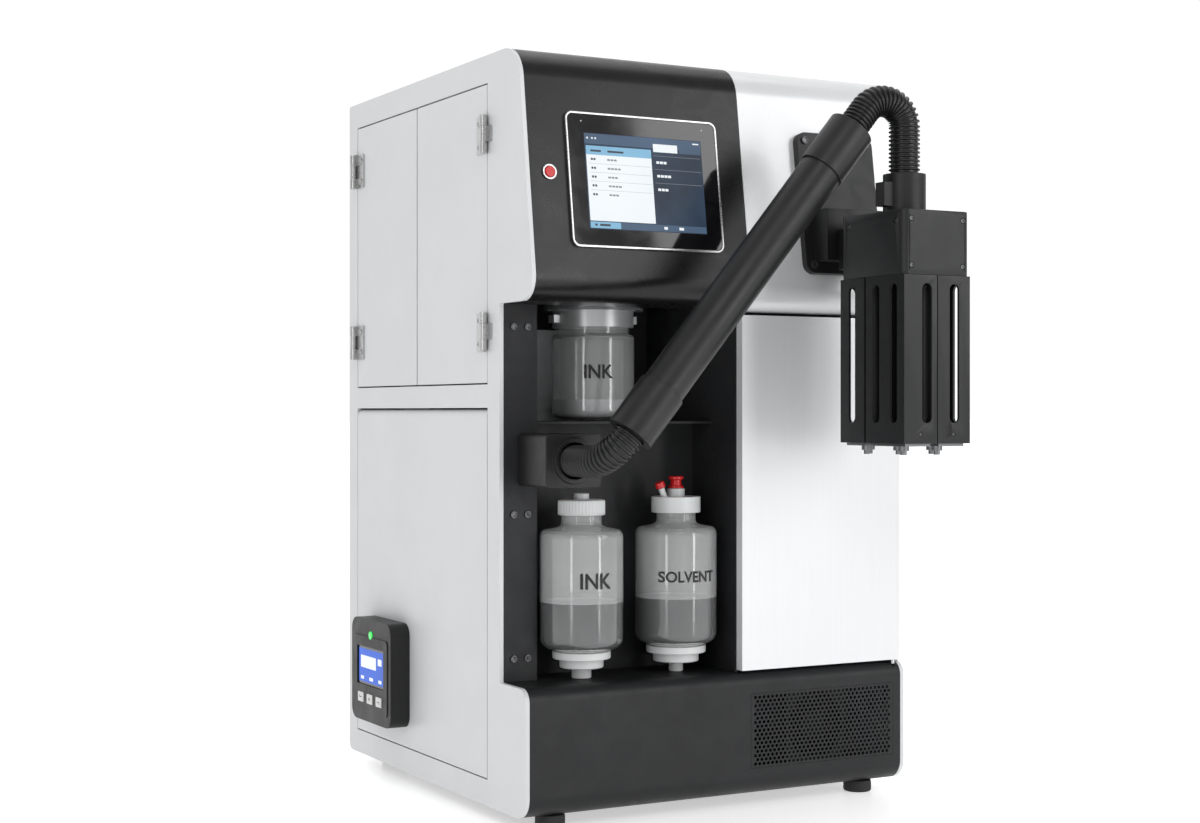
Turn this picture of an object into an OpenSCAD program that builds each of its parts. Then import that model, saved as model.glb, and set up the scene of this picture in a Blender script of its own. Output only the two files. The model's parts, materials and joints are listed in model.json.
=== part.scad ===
// Cabinet date-code inkjet printer with a four-nozzle print head on an umbilical.
// +X right, -Y front, +Z up; origin on the floor, under the middle of the whole machine's box.

/* [Cabinet] */
// Width over both side panels
body_w = 500; // [480:5:620]
// Depth from the nose of the head to the back panel
body_d = 527; // [500:1:640]
// Height of the cabinet above its feet
body_h = 830; // [825:5:1000]
// Height of the rubber feet
foot_h = 14; // [8:1:30]
// Diameter of the rubber feet
foot_d = 33; // [20:1:45]
// Thickness of the side panels
side_t = 5; // [3:0.5:8]
// Thickness of the sheet covers, doors and flaps
skin_t = 2.5; // [1.5:0.25:3.5]
// Running gap round the doors and the flap
door_gap = 1.5; // [1:0.25:2.5]
// Height of the slanted head
head_h = 276; // [240:2:320]
// Forward lean of the head's front from its top to its nose
head_lean = 38; // [10:1:60]
// Height of the closed base
base_h = 140; // [130:2:170]
// Distance from the nose back to the base front
base_set = 14.5; // [5:0.5:30]
// Distance from the base front back to the niche front
niche_set = 64; // [60:1:72]

/* [Niche] */
// Width of the pillar left of the niche
pillar_w = 41; // [30:1:60]
// Width of the niche
niche_w = 226; // [218:1:240]
// Height of the tank bay above the shelf
tank_bay_h = 138; // [132:1:150]
// Depth of the bottle bay behind the niche front
bottle_bay_d = 43; // [40:1:60]
// Depth of the tank bay behind the niche front
tank_bay_d = 151; // [150:1:165]
// Thickness of the niche walls
liner_t = 2; // [1.5:0.5:3]

/* [Bottles and tank] */
// Outer diameter of a bottle
bottle_d = 93; // [80:1:96]
// Height of a bottle's straight body
bottle_h = 117; // [90:1:118]
// Diameter of a bottle neck
neck_d = 45; // [36:1:50]
// Wall of the bottles and the tank jar
bottle_wall = 1.6; // [1:0.2:2.5]
// Distance between the two bottle axes
bottle_pitch = 122; // [118:1:124]
// Outer diameter of the tank jar
jar_d = 97; // [80:1:110]
// Height of the tank jar
jar_h = 98; // [80:1:105]

/* [Side doors and flap] */
// Depth of the side openings along the panel
side_open_d = 390; // [370:2:400]
// Height of the upper side opening
upper_open_h = 333; // [300:2:340]
// Height of the lower side opening
lower_open_h = 411; // [380:2:414]
// Depth of the folded door edges
pan_d = 12; // [8:1:16]
// Height of a door hinge
hinge_h = 42; // [30:1:60]
// Diameter of a hinge knuckle
knuckle_d = 9; // [8:0.5:10]
// Diameter of a hinge pin
pin_d = 4; // [3:0.5:5]
// Width and height of the remote panel's case
remote_w = 126; // [116:1:140]
// Thickness of the remote panel's case
remote_t = 25; // [16:1:30]

/* [Screen and stop button] */
// Width of the screen bezel
bezel_w = 191; // [180:1:210]
// Height of the screen bezel along the slope
bezel_h = 149.5; // [140:0.5:170]
// Diameter of the stop button
button_d = 12; // [8:0.5:16]

/* [Umbilical and print head] */
// Outer diameter of the corrugated hose
hose_d = 34.5; // [28:0.5:36]
// Outer diameter of the straight umbilical tube
tube_d = 47.5; // [42:0.5:50]
// Outer diameter of the tube's end sleeves
sleeve_d = 52; // [50:0.5:60]
// Length of an end sleeve
sleeve_l = 60; // [40:1:80]
// Bend radius of the hose at the outlet
outlet_bend_r = 40; // [30:1:50]
// Bend radius of the hose above the head
loop_bend_r = 27; // [24:1:32]
// Width of the print head
print_w = 89; // [84:1:100]
// Depth of the print head
print_d = 115.3; // [110:0.1:125]
// Height of the print head's housing
housing_h = 69.9; // [60:0.1:80]
// Length of the slotted shrouds
shroud_l = 181; // [150:1:182]
// Wall of the slotted shrouds
shroud_t = 3; // [2:0.5:4]

/* [Hidden] */
$fn = 48;
eps = 1;
fit = 0.3;
key_out = 2.4;
back_out = 2;
head_out = 132;
whole_w = body_w + remote_t + key_out;
whole_d = back_out + body_d - base_set + head_out + print_d / 2;
right_x = whole_w / 2;
left_x = right_x - body_w;
in_left = left_x + side_t;
in_right = right_x - side_t;
back_y = whole_d / 2 - back_out;
base_y = back_y - body_d + base_set;
mid_x = (left_x + right_x) / 2;
top_z = foot_h + body_h;
head_z = top_z - head_h;
base_top = foot_h + base_h;
head_top_y = base_y + head_lean / 2;
nose_y = base_y - head_lean / 2;
lean_angle = atan(head_lean / head_h);
niche_y = base_y + niche_set;
niche_x0 = in_left + pillar_w;
niche_x1 = niche_x0 + niche_w;
ceiling_z = head_z + 9;
shelf_z = ceiling_z - tank_bay_h;
bottle_back_y = niche_y + bottle_bay_d;
tank_back_y = niche_y + tank_bay_d;
cover_x0 = niche_x1 + 2;
front_pan = 12;
bay_y = base_y + front_pan + fit;
seam = 3.5;
door_z0 = base_top + 3;
cover_z = head_z - 5.5;
door_z1 = cover_z - seam;

// Side openings
open_rear = 28;
open_y1 = back_y - open_rear;
open_y0 = open_y1 - side_open_d;
upper_z1 = top_z - 31;
upper_z0 = upper_z1 - upper_open_h;
lower_z0 = foot_h + 29;
lower_z1 = lower_z0 + lower_open_h;
leaf_seam_y = (open_y0 + open_y1) / 2 + 2;
leaf_seam = 3;
hinge_out = 5.5;
hinge_side = 0.6;
hinge_x = left_x - hinge_out;
hinge_z = [upper_z0 + 58, upper_z1 - 57];
leaf_t = 2;
leaf_w = 25;
leaf_rest = 12;
end_knuckle = 12;
roll_r = 8;
flap_x = left_x + roll_r;
flap_z = lower_z1 - door_gap - roll_r;
flap_pin_d = 5;
flap_arm = 10;

// Front door pivots
pivot_x = in_right - 7;
pivot_y = base_y + front_pan / 2;
pivot_d = 5;
pivot_in = 10;

// Remote panel on the flap
remote_x = left_x - remote_t;
remote_y = open_y1 - 108;
remote_z = lower_z0 + 88;
remote_view_w = 85;
remote_view_z = [remote_z - 18, remote_z + 29];
remote_wall = 2.5;
key_pitch = 29;
key_w = 17;
key_h = 12;
key_z = remote_z - 34;
power_z = remote_z + 44;
power_d = 10;

// Screen and stop button
screen_x = (in_left + cover_x0) / 2 + 5.5;
screen_z = top_z - 144;
stop_x = in_left + 23;
stop_z = screen_z + 6;
glass_w = bezel_w - 5;
glass_h = bezel_h - 5;
screen_case_w = glass_w - 20;
screen_case_h = glass_h - 20;
bezel_out = 4;

// Bottles and tank
bottle_y = niche_y - 9;
solvent_x = niche_x1 - bottle_d / 2 - 7;
ink_x = solvent_x - bottle_pitch;
bottle_low = base_top + fit;
body_low = bottle_low + 33;
shoulder_z = body_low + 7 + bottle_h;
neck_top = shoulder_z + 38;
cap_rise = 13;
vent_lean = 22;
vent_x = solvent_x - neck_d / 2 - 0.5;
vent_dir = [-sin(vent_lean), 0, cos(vent_lean)];
vent_foot = [vent_x + 5, bottle_y - 6, neck_top + 2];
vent_l = 13;
tank_x = (niche_x0 + niche_x1) / 2 + 6;
tank_y = niche_y + 91;
collar_top = ceiling_z - 10;
collar_h = 19;
collar_seat = 5;
jar_neck_d = jar_d - 12;
jar_top = collar_top - collar_h - 8;

// Outlet, umbilical and print head
outlet_w = 68;
outlet_h = 58;
outlet_x = niche_x0 + 10;
outlet_z = shelf_z - 42;
outlet_y = niche_y - 68;
mouth_d = hose_d + 4.5;
head_x = in_right - 95.5;
head_y = base_y - head_out;
loop_top = top_z - 54;
housing_z = head_z + 28.5;
shroud_z = housing_z - shroud_l;
print_y0 = head_y - print_d / 2;
print_y1 = head_y + print_d / 2;
rear_post_d = 44;
post_gap = 3;
post_seam = 1;
post_w = (print_w - post_seam) / 2;
front_post_d = print_d - rear_post_d - post_gap;
slot_w = 12.5;
post_xs = [head_x - (post_w + post_seam) / 2, head_x + (post_w + post_seam) / 2];
front_slot_xs = [post_xs[0] + 8.5, post_xs[1] + 0.5];
rear_slot_xs = [post_xs[0] - 8.5, post_xs[1] + 8.5];
front_mid = print_y0 + front_post_d / 2;
rear_mid = print_y1 - rear_post_d / 2;
bracket_z = housing_z + 92;
bracket_w = 106;
bracket_h = 165;
bracket_t = 9;
front_dir = [0, -1, 0];
down_dir = [0, 0, -1];
bend_start = [outlet_x, outlet_y - outlet_bend_r - 2, outlet_z];
tube_aim = aim([50, 0], 12);
tube_dir = heading(tube_aim[0], tube_aim[1]);
tube_start = bent(tube_aim);
tube_rise = loop_top - loop_bend_r * (1 - cos(tube_aim[0])) - tube_start[2];
tube_run = tube_rise / tube_dir[2];
tube_end = tube_start + tube_run * tube_dir;
hose_lead = 28;
hose_in = 10;
hose_hidden = 20;

// Inner units
deck_t = 3;
deck_x = flap_x + roll_r + 2;
fan_size = 80;
fan_x = (cover_x0 + in_right) / 2 - 8.5;
fan_z = foot_h + base_h / 2 + 4;
grille_w = in_right - cover_x0 - 22;
grille_h = base_h - 56;
grille_t = 4.5;
fan_y = base_y + grille_t;
unit_y = (tank_back_y + back_y) / 2 + 4;
supply_y = back_y - 283.5;
board_y = back_y - 393.5;
tray_t = 2;
inlet_x = in_right - 60;
inlet_z = foot_h + 66;
inlet_w = 47;
inlet_h = 28;

// Vectors and outlines
function unit(v) = v / norm(v);
function left_of(v) = [-v[1], v[0]];
function turned(v, a) = [v[0] * cos(a) - v[1] * sin(a), v[0] * sin(a) + v[1] * cos(a)];
function cross_z(u, v) = u[0] * v[1] - u[1] * v[0];
// Direction of the edge that leaves corner i of a closed outline of [x, y, radius] corners
function edge(c, i) =
    let (n = len(c), a = c[i % n], b = c[(i + 1) % n])
    unit([b[0] - a[0], b[1] - a[1]]);
// Corner i with both its edges moved inwards by t
function moved(c, i, t) =
    let (u = left_of(edge(c, i + len(c) - 1)), v = left_of(edge(c, i)))
    [c[i][0], c[i][1]] + t * (u + v) / (1 + u * v);
// Points of the round of radius r at corner p, between edges along u and v
function round_at(p, u, v, r) =
    let (turn = atan2(cross_z(u, v), u * v),
        start = p - u * r * tan(abs(turn) / 2),
        centre = start + sign(turn) * r * left_of(u),
        steps = max(1, ceil(abs(turn) / (r > 20 ? 7.5 : 15))))
    r < 0.05 ? [p] : [for (j = [0:steps]) centre + turned(start - centre, turn * j / steps)];
// Closed anticlockwise outline with rounded corners, moved inwards by t
function outline(c, t = 0) =
    [for (i = [0:len(c) - 1])
        let (u = edge(c, i + len(c) - 1), v = edge(c, i))
        each round_at(moved(c, i, t), u, v,
            c[i][2] == 0 ? 0 : max(0, c[i][2] - sign(cross_z(u, v)) * t))];
function rect(w, h, r) =
    [[-w / 2, -h / 2, r], [w / 2, -h / 2, r], [w / 2, h / 2, r], [-w / 2, h / 2, r]];
// Y of the slanted head front at height z
function slope_y(z) = head_top_y + (nose_y - head_top_y) * (top_z - z) / head_h;
// Outline of the head in Y and Z, from its rear edge forwards
function head_corners(rear, low) =
    [[rear, low, 0], [rear, top_z, 0], [head_top_y, top_z, 40], [slope_y(low), low, 26]];
// Silhouette of a side panel whose front between base and head lies at front
function side_corners(front) =
    [[back_y, foot_h, 10], [back_y, top_z, 4], [head_top_y, top_z, 40], [nose_y, head_z, 26],
        [front, head_z, 2], [front, base_top, 2], [base_y, base_top, 15], [base_y, foot_h, 24]];

// Umbilical route: a bend at the outlet, a straight tube, and a loop down to the head
function heading(e, a) = [cos(e) * cos(a), cos(e) * sin(a), sin(e)];
function bend_side(d0, d1) = unit(d1 - (d0 * d1) * d0);
function bend_end(p, d0, d1, r) =
    p + r * (sqrt(1 - pow(d0 * d1, 2)) * d0 + (1 - d0 * d1) * bend_side(d0, d1));
// Stations of a bend that starts at p along d0 and turns to d1
function bend_path(p, d0, d1, r) =
    let (n = bend_side(d0, d1), turn = acos(d0 * d1), steps = ceil(turn / 12))
    [for (j = [0:steps]) let (a = turn * j / steps)
        [p + r * ((1 - cos(a)) * n + sin(a) * d0), cos(a) * d0 + sin(a) * n]];
function bent(g) = bend_end(bend_start, front_dir, heading(g[0], g[1]), outlet_bend_r);
// Elevation and azimuth of the tube that joins both bends, found by repeated aiming
function aim(g, count) =
    count == 0 ? g :
    let (b = bent(g), dx = head_x - b[0], dy = head_y - b[1],
        run = norm([dx, dy]) - loop_bend_r * (1 + sin(g[0])),
        rise = loop_top - loop_bend_r * (1 - cos(g[0])) - b[2])
    aim([atan2(rise, run), atan2(dy, dx)], count - 1);

// Shared shapes
module block(x, y, z) {
    translate([x[0], y[0], z[0]]) cube([x[1] - x[0], y[1] - y[0], z[1] - z[0]]);
}
module along_x(x0, x1) {
    translate([x0, 0, 0]) rotate([90, 0, 90]) linear_extrude(x1 - x0) children();
}
module along_y(y0, y1) {
    translate([0, y1, 0]) rotate([90, 0, 0]) linear_extrude(y1 - y0) children();
}
module rod_x(x0, x1, y, z, d) {
    translate([x0, y, z]) rotate([0, 90, 0]) cylinder(h = x1 - x0, d = d);
}
module rod_y(y0, y1, x, z, d) {
    translate([x, y0, z]) rotate([-90, 0, 0]) cylinder(h = y1 - y0, d = d);
}
module rod_z(z0, z1, x, y, d) {
    translate([x, y, z0]) cylinder(h = z1 - z0, d = d);
}
module rounded(w, h, r) {
    polygon(outline(rect(w, h, r)));
}
// Places its children on the slanted front, with -Y pointing straight out of it
module on_slope(x, z) {
    translate([x, slope_y(z), z]) rotate([-lean_angle, 0, 0]) children();
}
// Turns +Z to the direction d at the point p
module pointing(p, d) {
    translate(p) rotate([0, acos(d[2]), atan2(d[1], d[0])]) children();
}
// Hose through a path of [point, heading] pairs that lies square to the direction side
module swept(path, side, d) {
    sides = 20;
    last = len(path) - 1;
    points = [for (s = path) for (i = [0:sides - 1])
        s[0] + d / 2 * (cos(i * 360 / sides) * side + sin(i * 360 / sides) * cross(s[1], side))];
    walls = [for (a = [0:last - 1]) for (i = [0:sides - 1])
        let (j = (i + 1) % sides)
        [a * sides + i, (a + 1) * sides + i, (a + 1) * sides + j, a * sides + j]];
    polyhedron(points, concat(walls, [[for (i = [0:sides - 1]) i],
        [for (i = [sides - 1:-1:0]) last * sides + i]]));
}
module head_shell(low) {
    difference() {
        polygon(outline(head_corners(niche_y, low)));
        polygon(outline(head_corners(niche_y + 20, low), skin_t));
    }
}

// Cabinet shell
module side_openings(x0, x1) {
    block([x0, x1], [open_y0, open_y1], [upper_z0, upper_z1]);
    block([x0, x1], [open_y0, open_y1], [lower_z0, lower_z1]);
}
module flap_bracket(y0, y1) {
    difference() {
        block([in_left, flap_x + roll_r], [y0, y1], [flap_z - roll_r, flap_z + roll_r]);
        rod_y(y0 - eps, y1 + eps, flap_x, flap_z, flap_pin_d);
    }
}
module left_side_panel() {
    color("whitesmoke") {
        difference() {
            along_x(left_x, in_left) polygon(outline(side_corners(niche_y)));
            side_openings(left_x - eps, in_left + eps);
        }
        flap_bracket(open_y0 - flap_arm, open_y0);
        flap_bracket(open_y1, open_y1 + flap_arm);
    }
}
module right_side_panel() {
    color("whitesmoke")
        along_x(in_right, right_x) polygon(outline(side_corners(bay_y)));
}
module back_panel() {
    color("whitesmoke") difference() {
        block([in_left, in_right], [back_y - skin_t, back_y], [foot_h + 12, top_z - skin_t]);
        block([inlet_x - inlet_w / 2, inlet_x + inlet_w / 2], [back_y - 10, back_y + 10],
            [inlet_z - inlet_h / 2, inlet_z + inlet_h / 2]);
        for (i = [0:7])
            block([in_left + 60, in_left + 200], [back_y - 10, back_y + 10],
                [foot_h + 60 + 12 * i, foot_h + 65 + 12 * i]);
    }
}
module top_cover() {
    color("whitesmoke") block([in_left, in_right], [niche_y, back_y - 2], [top_z - skin_t, top_z]);
}
module base_tray() {
    tray_y1 = back_y - 12;
    color("dimgray") difference() {
        block([in_left, in_right], [niche_y, tray_y1], [foot_h, foot_h + 22]);
        block([in_left + tray_t, in_right - tray_t], [niche_y + tray_t, tray_y1 - tray_t],
            [foot_h + tray_t, foot_h + 30]);
    }
}
module head_fascia() {
    color([0.08, 0.08, 0.09]) difference() {
        along_x(in_left, cover_x0 - fit) head_shell(head_z);
        on_slope(screen_x, screen_z)
            block([-screen_case_w / 2 - fit, screen_case_w / 2 + fit], [-20, 20],
                [-screen_case_h / 2 - fit, screen_case_h / 2 + fit]);
        on_slope(stop_x, stop_z) rod_y(-20, 20, 0, 0, button_d + 3);
    }
}
module upper_front_cover() {
    color("white") difference() {
        along_x(cover_x0 + fit, in_right) head_shell(cover_z);
        rod_z(cover_z - eps, cover_z + 10, pivot_x, pivot_y, pivot_d);
    }
}
module base_fascia() {
    corners = [[niche_y, foot_h, 0], [niche_y, base_top, 0], [base_y, base_top, 15],
        [base_y, foot_h, 24]];
    open_corners = [[niche_y + 20, foot_h, 0], [niche_y + 20, base_top, 0],
        [base_y, base_top, 15], [base_y, foot_h, 24]];
    color([0.16, 0.17, 0.19]) difference() {
        along_x(in_left, in_right) difference() {
            polygon(outline(corners));
            polygon(outline(open_corners, skin_t));
        }
        grille_block(fit, base_y - eps, base_y + 10);
        rod_z(base_top - 10, base_top + eps, pivot_x, pivot_y, pivot_d);
    }
}
module grille_block(gap, y0, y1) {
    x0 = (cover_x0 + in_right - grille_w) / 2;
    block([x0 - gap, x0 + grille_w + gap], [y0, y1],
        [fan_z - grille_h / 2 - gap, fan_z + grille_h / 2 + gap]);
}
module vent_grille() {
    pitch = 12;
    rise = pitch * sin(60);
    hole = 8.4;
    cols = floor((grille_w - 8) / pitch);
    rows = floor((grille_h - 10) / rise / 2) * 2;
    centre_x = (cover_x0 + in_right) / 2;
    color([0.13, 0.14, 0.15]) difference() {
        union() {
            grille_block(0, base_y, fan_y);
            grille_block(5, base_y + skin_t, fan_y);
        }
        for (j = [0:rows])
            for (i = [0:cols - 1 - j % 2])
                rod_y(base_y - eps, fan_y + eps,
                    centre_x + pitch * (i - (cols - 1 - j % 2) / 2),
                    fan_z + rise * (j - rows / 2), hole, $fn = 6);
    }
}
module feet() {
    inset_x = 45;
    color([0.1, 0.1, 0.1])
        for (x = [left_x + inset_x, right_x - inset_x])
            for (y = [base_y + 31, back_y - 45])
                rod_z(0, foot_h, x, y, foot_d);
}

// Niche
module niche_liner() {
    color([0.2, 0.21, 0.23]) union() {
        block([in_left, niche_x0], [niche_y, niche_y + liner_t], [base_top, head_z]);
        block([niche_x0 - liner_t, niche_x0], [niche_y, bottle_back_y + liner_t],
            [base_top, shelf_z - deck_t]);
        block([niche_x0 - liner_t, niche_x0], [niche_y, tank_back_y + liner_t],
            [shelf_z, ceiling_z + liner_t]);
        block([niche_x1, niche_x1 + liner_t], [bay_y, tank_back_y + liner_t],
            [base_top, head_z - skin_t]);
        block([niche_x1, niche_x1 + liner_t], [niche_y, tank_back_y + liner_t],
            [head_z - skin_t - eps, ceiling_z + liner_t]);
        block([niche_x0, niche_x1], [bottle_back_y, bottle_back_y + liner_t],
            [base_top, shelf_z - deck_t]);
        block([niche_x0, niche_x1], [tank_back_y, tank_back_y + liner_t],
            [shelf_z, ceiling_z + liner_t]);
        block([niche_x0, niche_x1], [niche_y, tank_back_y],
            [ceiling_z, ceiling_z + liner_t]);
        block([niche_x0 - liner_t, niche_x1 + liner_t], [niche_y, bottle_back_y + liner_t],
            [base_top - skin_t, base_top]);
    }
}
module niche_shelf() {
    color([0.26, 0.27, 0.29]) union() {
        block([niche_x0, niche_x1], [niche_y, tank_back_y + liner_t],
            [shelf_z - deck_t, shelf_z]);
        block([deck_x, niche_x1 + liner_t], [tank_back_y + liner_t, back_y - skin_t],
            [shelf_z - deck_t, shelf_z]);
    }
}
module tank_back_plate() {
    color("lightgray") {
        block([niche_x0 + 1, niche_x1 - 30], [tank_back_y - 3, tank_back_y],
            [shelf_z, head_z - 21]);
        block([niche_x0 + 1, niche_x1 - 30], [tank_back_y - 9, tank_back_y - 2],
            [shelf_z, shelf_z + 13]);
    }
}

// Hinges of the side doors
// Leaf beside the hinge at height z, reaching away from the axis in the direction side
module leaf(y, z, side, reach) {
    near = y + side * (knuckle_d / 2 + 0.6);
    far = y + side * reach;
    block([left_x - leaf_t, left_x], [min(near, far), max(near, far)],
        [z - hinge_h / 2, z + hinge_h / 2]);
}
// Strip that joins the knuckles between z0 and z1 to their leaf
module leaf_tab(y, z0, z1, side) {
    far = y + side * (knuckle_d / 2 + 1);
    block([hinge_x, left_x - leaf_t + 0.6], [min(y, far), max(y, far)], [z0, z1]);
    block([left_x - leaf_t, left_x - 0.2], [min(y + side * 2, far), max(y + side * 2, far)],
        [z0, z1]);
}
// Leaf that turns with the door, with a knuckle at each end of the hinge
module door_leaf(y, z, side) {
    difference() {
        union() {
            leaf(y, z, side, leaf_w);
            for (z0 = [z - hinge_h / 2, z + hinge_h / 2 - end_knuckle]) {
                leaf_tab(y, z0, z0 + end_knuckle, side);
                rod_z(z0, z0 + end_knuckle, hinge_x, y, knuckle_d);
            }
        }
        rod_z(z - hinge_h, z + hinge_h, hinge_x, y, pin_d + 0.1);
    }
    for (dz = [-13, 13])
        rod_x(left_x - leaf_t - 1.6, left_x - leaf_t, y + side * (leaf_w - 8), z + dz, 8);
}
// Short leaf fixed to the panel, with the middle knuckle
module frame_leaf(y, z, side) {
    mid = hinge_h / 2 - end_knuckle - fit;
    near = y + side * 3;
    far = y + side * leaf_rest;
    difference() {
        union() {
            block([left_x - leaf_t, left_x], [min(near, far), max(near, far)], [z - mid, z + mid]);
            leaf_tab(y, z - mid, z + mid, side);
            rod_z(z - mid, z + mid, hinge_x, y, knuckle_d - 1.5);
        }
        rod_z(z - hinge_h, z + hinge_h, hinge_x, y, pin_d);
    }
}
module hinge_frame_leaves() {
    color("gray")
        for (z = hinge_z) {
            frame_leaf(open_y1 + hinge_side, z, 1);
            frame_leaf(open_y0 - hinge_side, z, -1);
        }
}
module hinge_pins() {
    color("silver") {
        for (z = hinge_z)
            for (y = [open_y0 - hinge_side, open_y1 + hinge_side])
                rod_z(z - hinge_h / 2, z + hinge_h / 2, hinge_x, y, pin_d);
        rod_y(open_y0 - flap_arm, open_y0 + 12, flap_x, flap_z, flap_pin_d);
        rod_y(open_y1 - 12, open_y1 + flap_arm, flap_x, flap_z, flap_pin_d);
        rod_z(base_top - skin_t, door_z0 + pivot_in, pivot_x, pivot_y, pivot_d);
        rod_z(door_z1 - pivot_in, cover_z + skin_t, pivot_x, pivot_y, pivot_d);
    }
}
// Folded sheet pan that closes a side opening
module side_pan(y0, y1, z0, z1) {
    difference() {
        block([left_x, left_x + pan_d], [y0, y1], [z0, z1]);
        block([left_x + skin_t, left_x + pan_d + eps], [y0 + skin_t, y1 - skin_t],
            [z0 + skin_t, z1 - skin_t]);
    }
}
module rear_side_door() {
    color("whitesmoke")
        side_pan(leaf_seam_y + leaf_seam / 2, open_y1 - door_gap,
            upper_z0 + door_gap, upper_z1 - door_gap);
}
module fore_side_door() {
    color("whitesmoke")
        side_pan(open_y0 + door_gap, leaf_seam_y - leaf_seam / 2,
            upper_z0 + door_gap, upper_z1 - door_gap);
}
module rear_door_hinge_leaves() {
    color("gray")
        for (z = hinge_z) door_leaf(open_y1 + hinge_side, z, -1);
}
module fore_door_hinge_leaves() {
    color("gray")
        for (z = hinge_z) door_leaf(open_y0 - hinge_side, z, 1);
}
module service_flap() {
    y0 = open_y0 + door_gap;
    y1 = open_y1 - door_gap;
    color("whitesmoke") difference() {
        union() {
            difference() {
                side_pan(y0, y1, lower_z0 + door_gap, flap_z + skin_t);
                block([left_x - eps, left_x + pan_d + eps], [y0 - eps, y1 + eps],
                    [flap_z, flap_z + 10]);
            }
            rod_y(y0, y1, flap_x, flap_z, 2 * roll_r);
        }
        rod_y(y0 - eps, y1 + eps, flap_x, flap_z, flap_pin_d + 0.1);
    }
}

// Remote panel
module remote_view(x0, x1) {
    block([x0, x1], [remote_y - remote_view_w / 2, remote_y + remote_view_w / 2], remote_view_z);
}
module remote_case() {
    wall = remote_wall;
    color([0.62, 0.64, 0.66]) difference() {
        union() {
            translate([0, remote_y, remote_z])
                along_x(remote_x, left_x) rounded(remote_w, remote_w, 15);
            translate([0, remote_y, remote_z - 4])
                along_x(remote_x - 1.2, remote_x + eps) rounded(remote_w - 18, remote_w - 34, 6);
        }
        translate([0, remote_y, remote_z])
            along_x(remote_x + wall, left_x - wall)
                rounded(remote_w - 2 * wall, remote_w - 2 * wall, 12.5);
        remote_view(remote_x - 5, remote_x + wall + eps);
        for (k = [-1, 0, 1])
            block([remote_x - 5, remote_x + wall + eps],
                [remote_y + k * key_pitch - key_w / 2 - fit, remote_y + k * key_pitch + key_w / 2 + fit],
                [key_z - key_h / 2 - fit, key_z + key_h / 2 + fit]);
        rod_x(remote_x - 5, remote_x + wall + eps, remote_y, power_z, power_d + 2 * fit);
    }
}
module remote_screen() {
    color([0.2, 0.35, 0.8]) remote_view(remote_x + 0.5, remote_x + 4);
}
module remote_key(k) {
    y = remote_y + k * key_pitch;
    color("white") union() {
        block([remote_x - key_out, remote_x + 3], [y - key_w / 2, y + key_w / 2],
            [key_z - key_h / 2, key_z + key_h / 2]);
        block([remote_x + 2.8, remote_x + 4.4], [y - key_w / 2 - 2, y + key_w / 2 + 2],
            [key_z - key_h / 2 - 2, key_z + key_h / 2 + 2]);
    }
}
module remote_key_left() {
    remote_key(1);
}
module remote_key_middle() {
    remote_key(0);
}
module remote_key_right() {
    remote_key(-1);
}
module remote_power_button() {
    color("limegreen") union() {
        rod_x(remote_x - 1.2, remote_x + 3, remote_y, power_z, power_d);
        rod_x(remote_x + 2.8, remote_x + 4.4, remote_y, power_z, power_d + 4);
    }
}

// Front door under the white cover
module front_door() {
    x1 = in_right - 1;
    color("white") difference() {
        union() {
            difference() {
                block([niche_x1 + 1, x1], [base_y, base_y + front_pan], [door_z0, door_z1]);
                block([niche_x1 + 1 + skin_t, x1 - skin_t], [base_y + skin_t, base_y + 20],
                    [door_z0 + skin_t, door_z1 - skin_t]);
            }
            for (z = [door_z0, door_z1 - 16])
                block([pivot_x - 6, x1 - 0.5], [base_y + 1, base_y + front_pan], [z, z + 16]);
        }
        rod_z(door_z0 - eps, door_z0 + pivot_in + 0.5, pivot_x, pivot_y, pivot_d + 0.1);
        rod_z(door_z1 - pivot_in - 0.5, door_z1 + eps, pivot_x, pivot_y, pivot_d + 0.1);
    }
}

// Screen and stop button
module screen_bezel() {
    color("silver") on_slope(screen_x, screen_z) difference() {
        union() {
            along_y(-bezel_out, 0) rounded(bezel_w, bezel_h, 9);
            along_y(-1, skin_t + 8) rounded(screen_case_w, screen_case_h, 2);
        }
        along_y(-bezel_out - eps, -0.8) rounded(glass_w, glass_h, 6.5);
        along_y(-bezel_out - eps, skin_t + 9) rounded(screen_case_w - 6, screen_case_h - 6, 2);
    }
}
module screen_glass() {
    color([0.05, 0.06, 0.08]) on_slope(screen_x, screen_z)
        along_y(-bezel_out + 0.3, -0.8) rounded(glass_w - 0.4, glass_h - 0.4, 6.3);
}
module button_collar() {
    color("silver") on_slope(stop_x, stop_z) difference() {
        union() {
            rod_y(-2.2, 0, 0, 0, button_d + 5);
            rod_y(-1, skin_t + 12, 0, 0, button_d + 2.8);
            rod_y(skin_t, skin_t + 4, 0, 0, button_d + 9);
        }
        rod_y(-3, skin_t + 10, 0, 0, button_d + 0.6);
        rod_y(skin_t + 9, skin_t + 13, 0, 0, button_d - 6);
    }
}
module stop_button() {
    color("crimson") on_slope(stop_x, stop_z) union() {
        rod_y(-3.8, skin_t + 5, 0, 0, button_d);
        rod_y(skin_t + 4, skin_t + 9, 0, 0, button_d - 7);
    }
}

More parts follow.
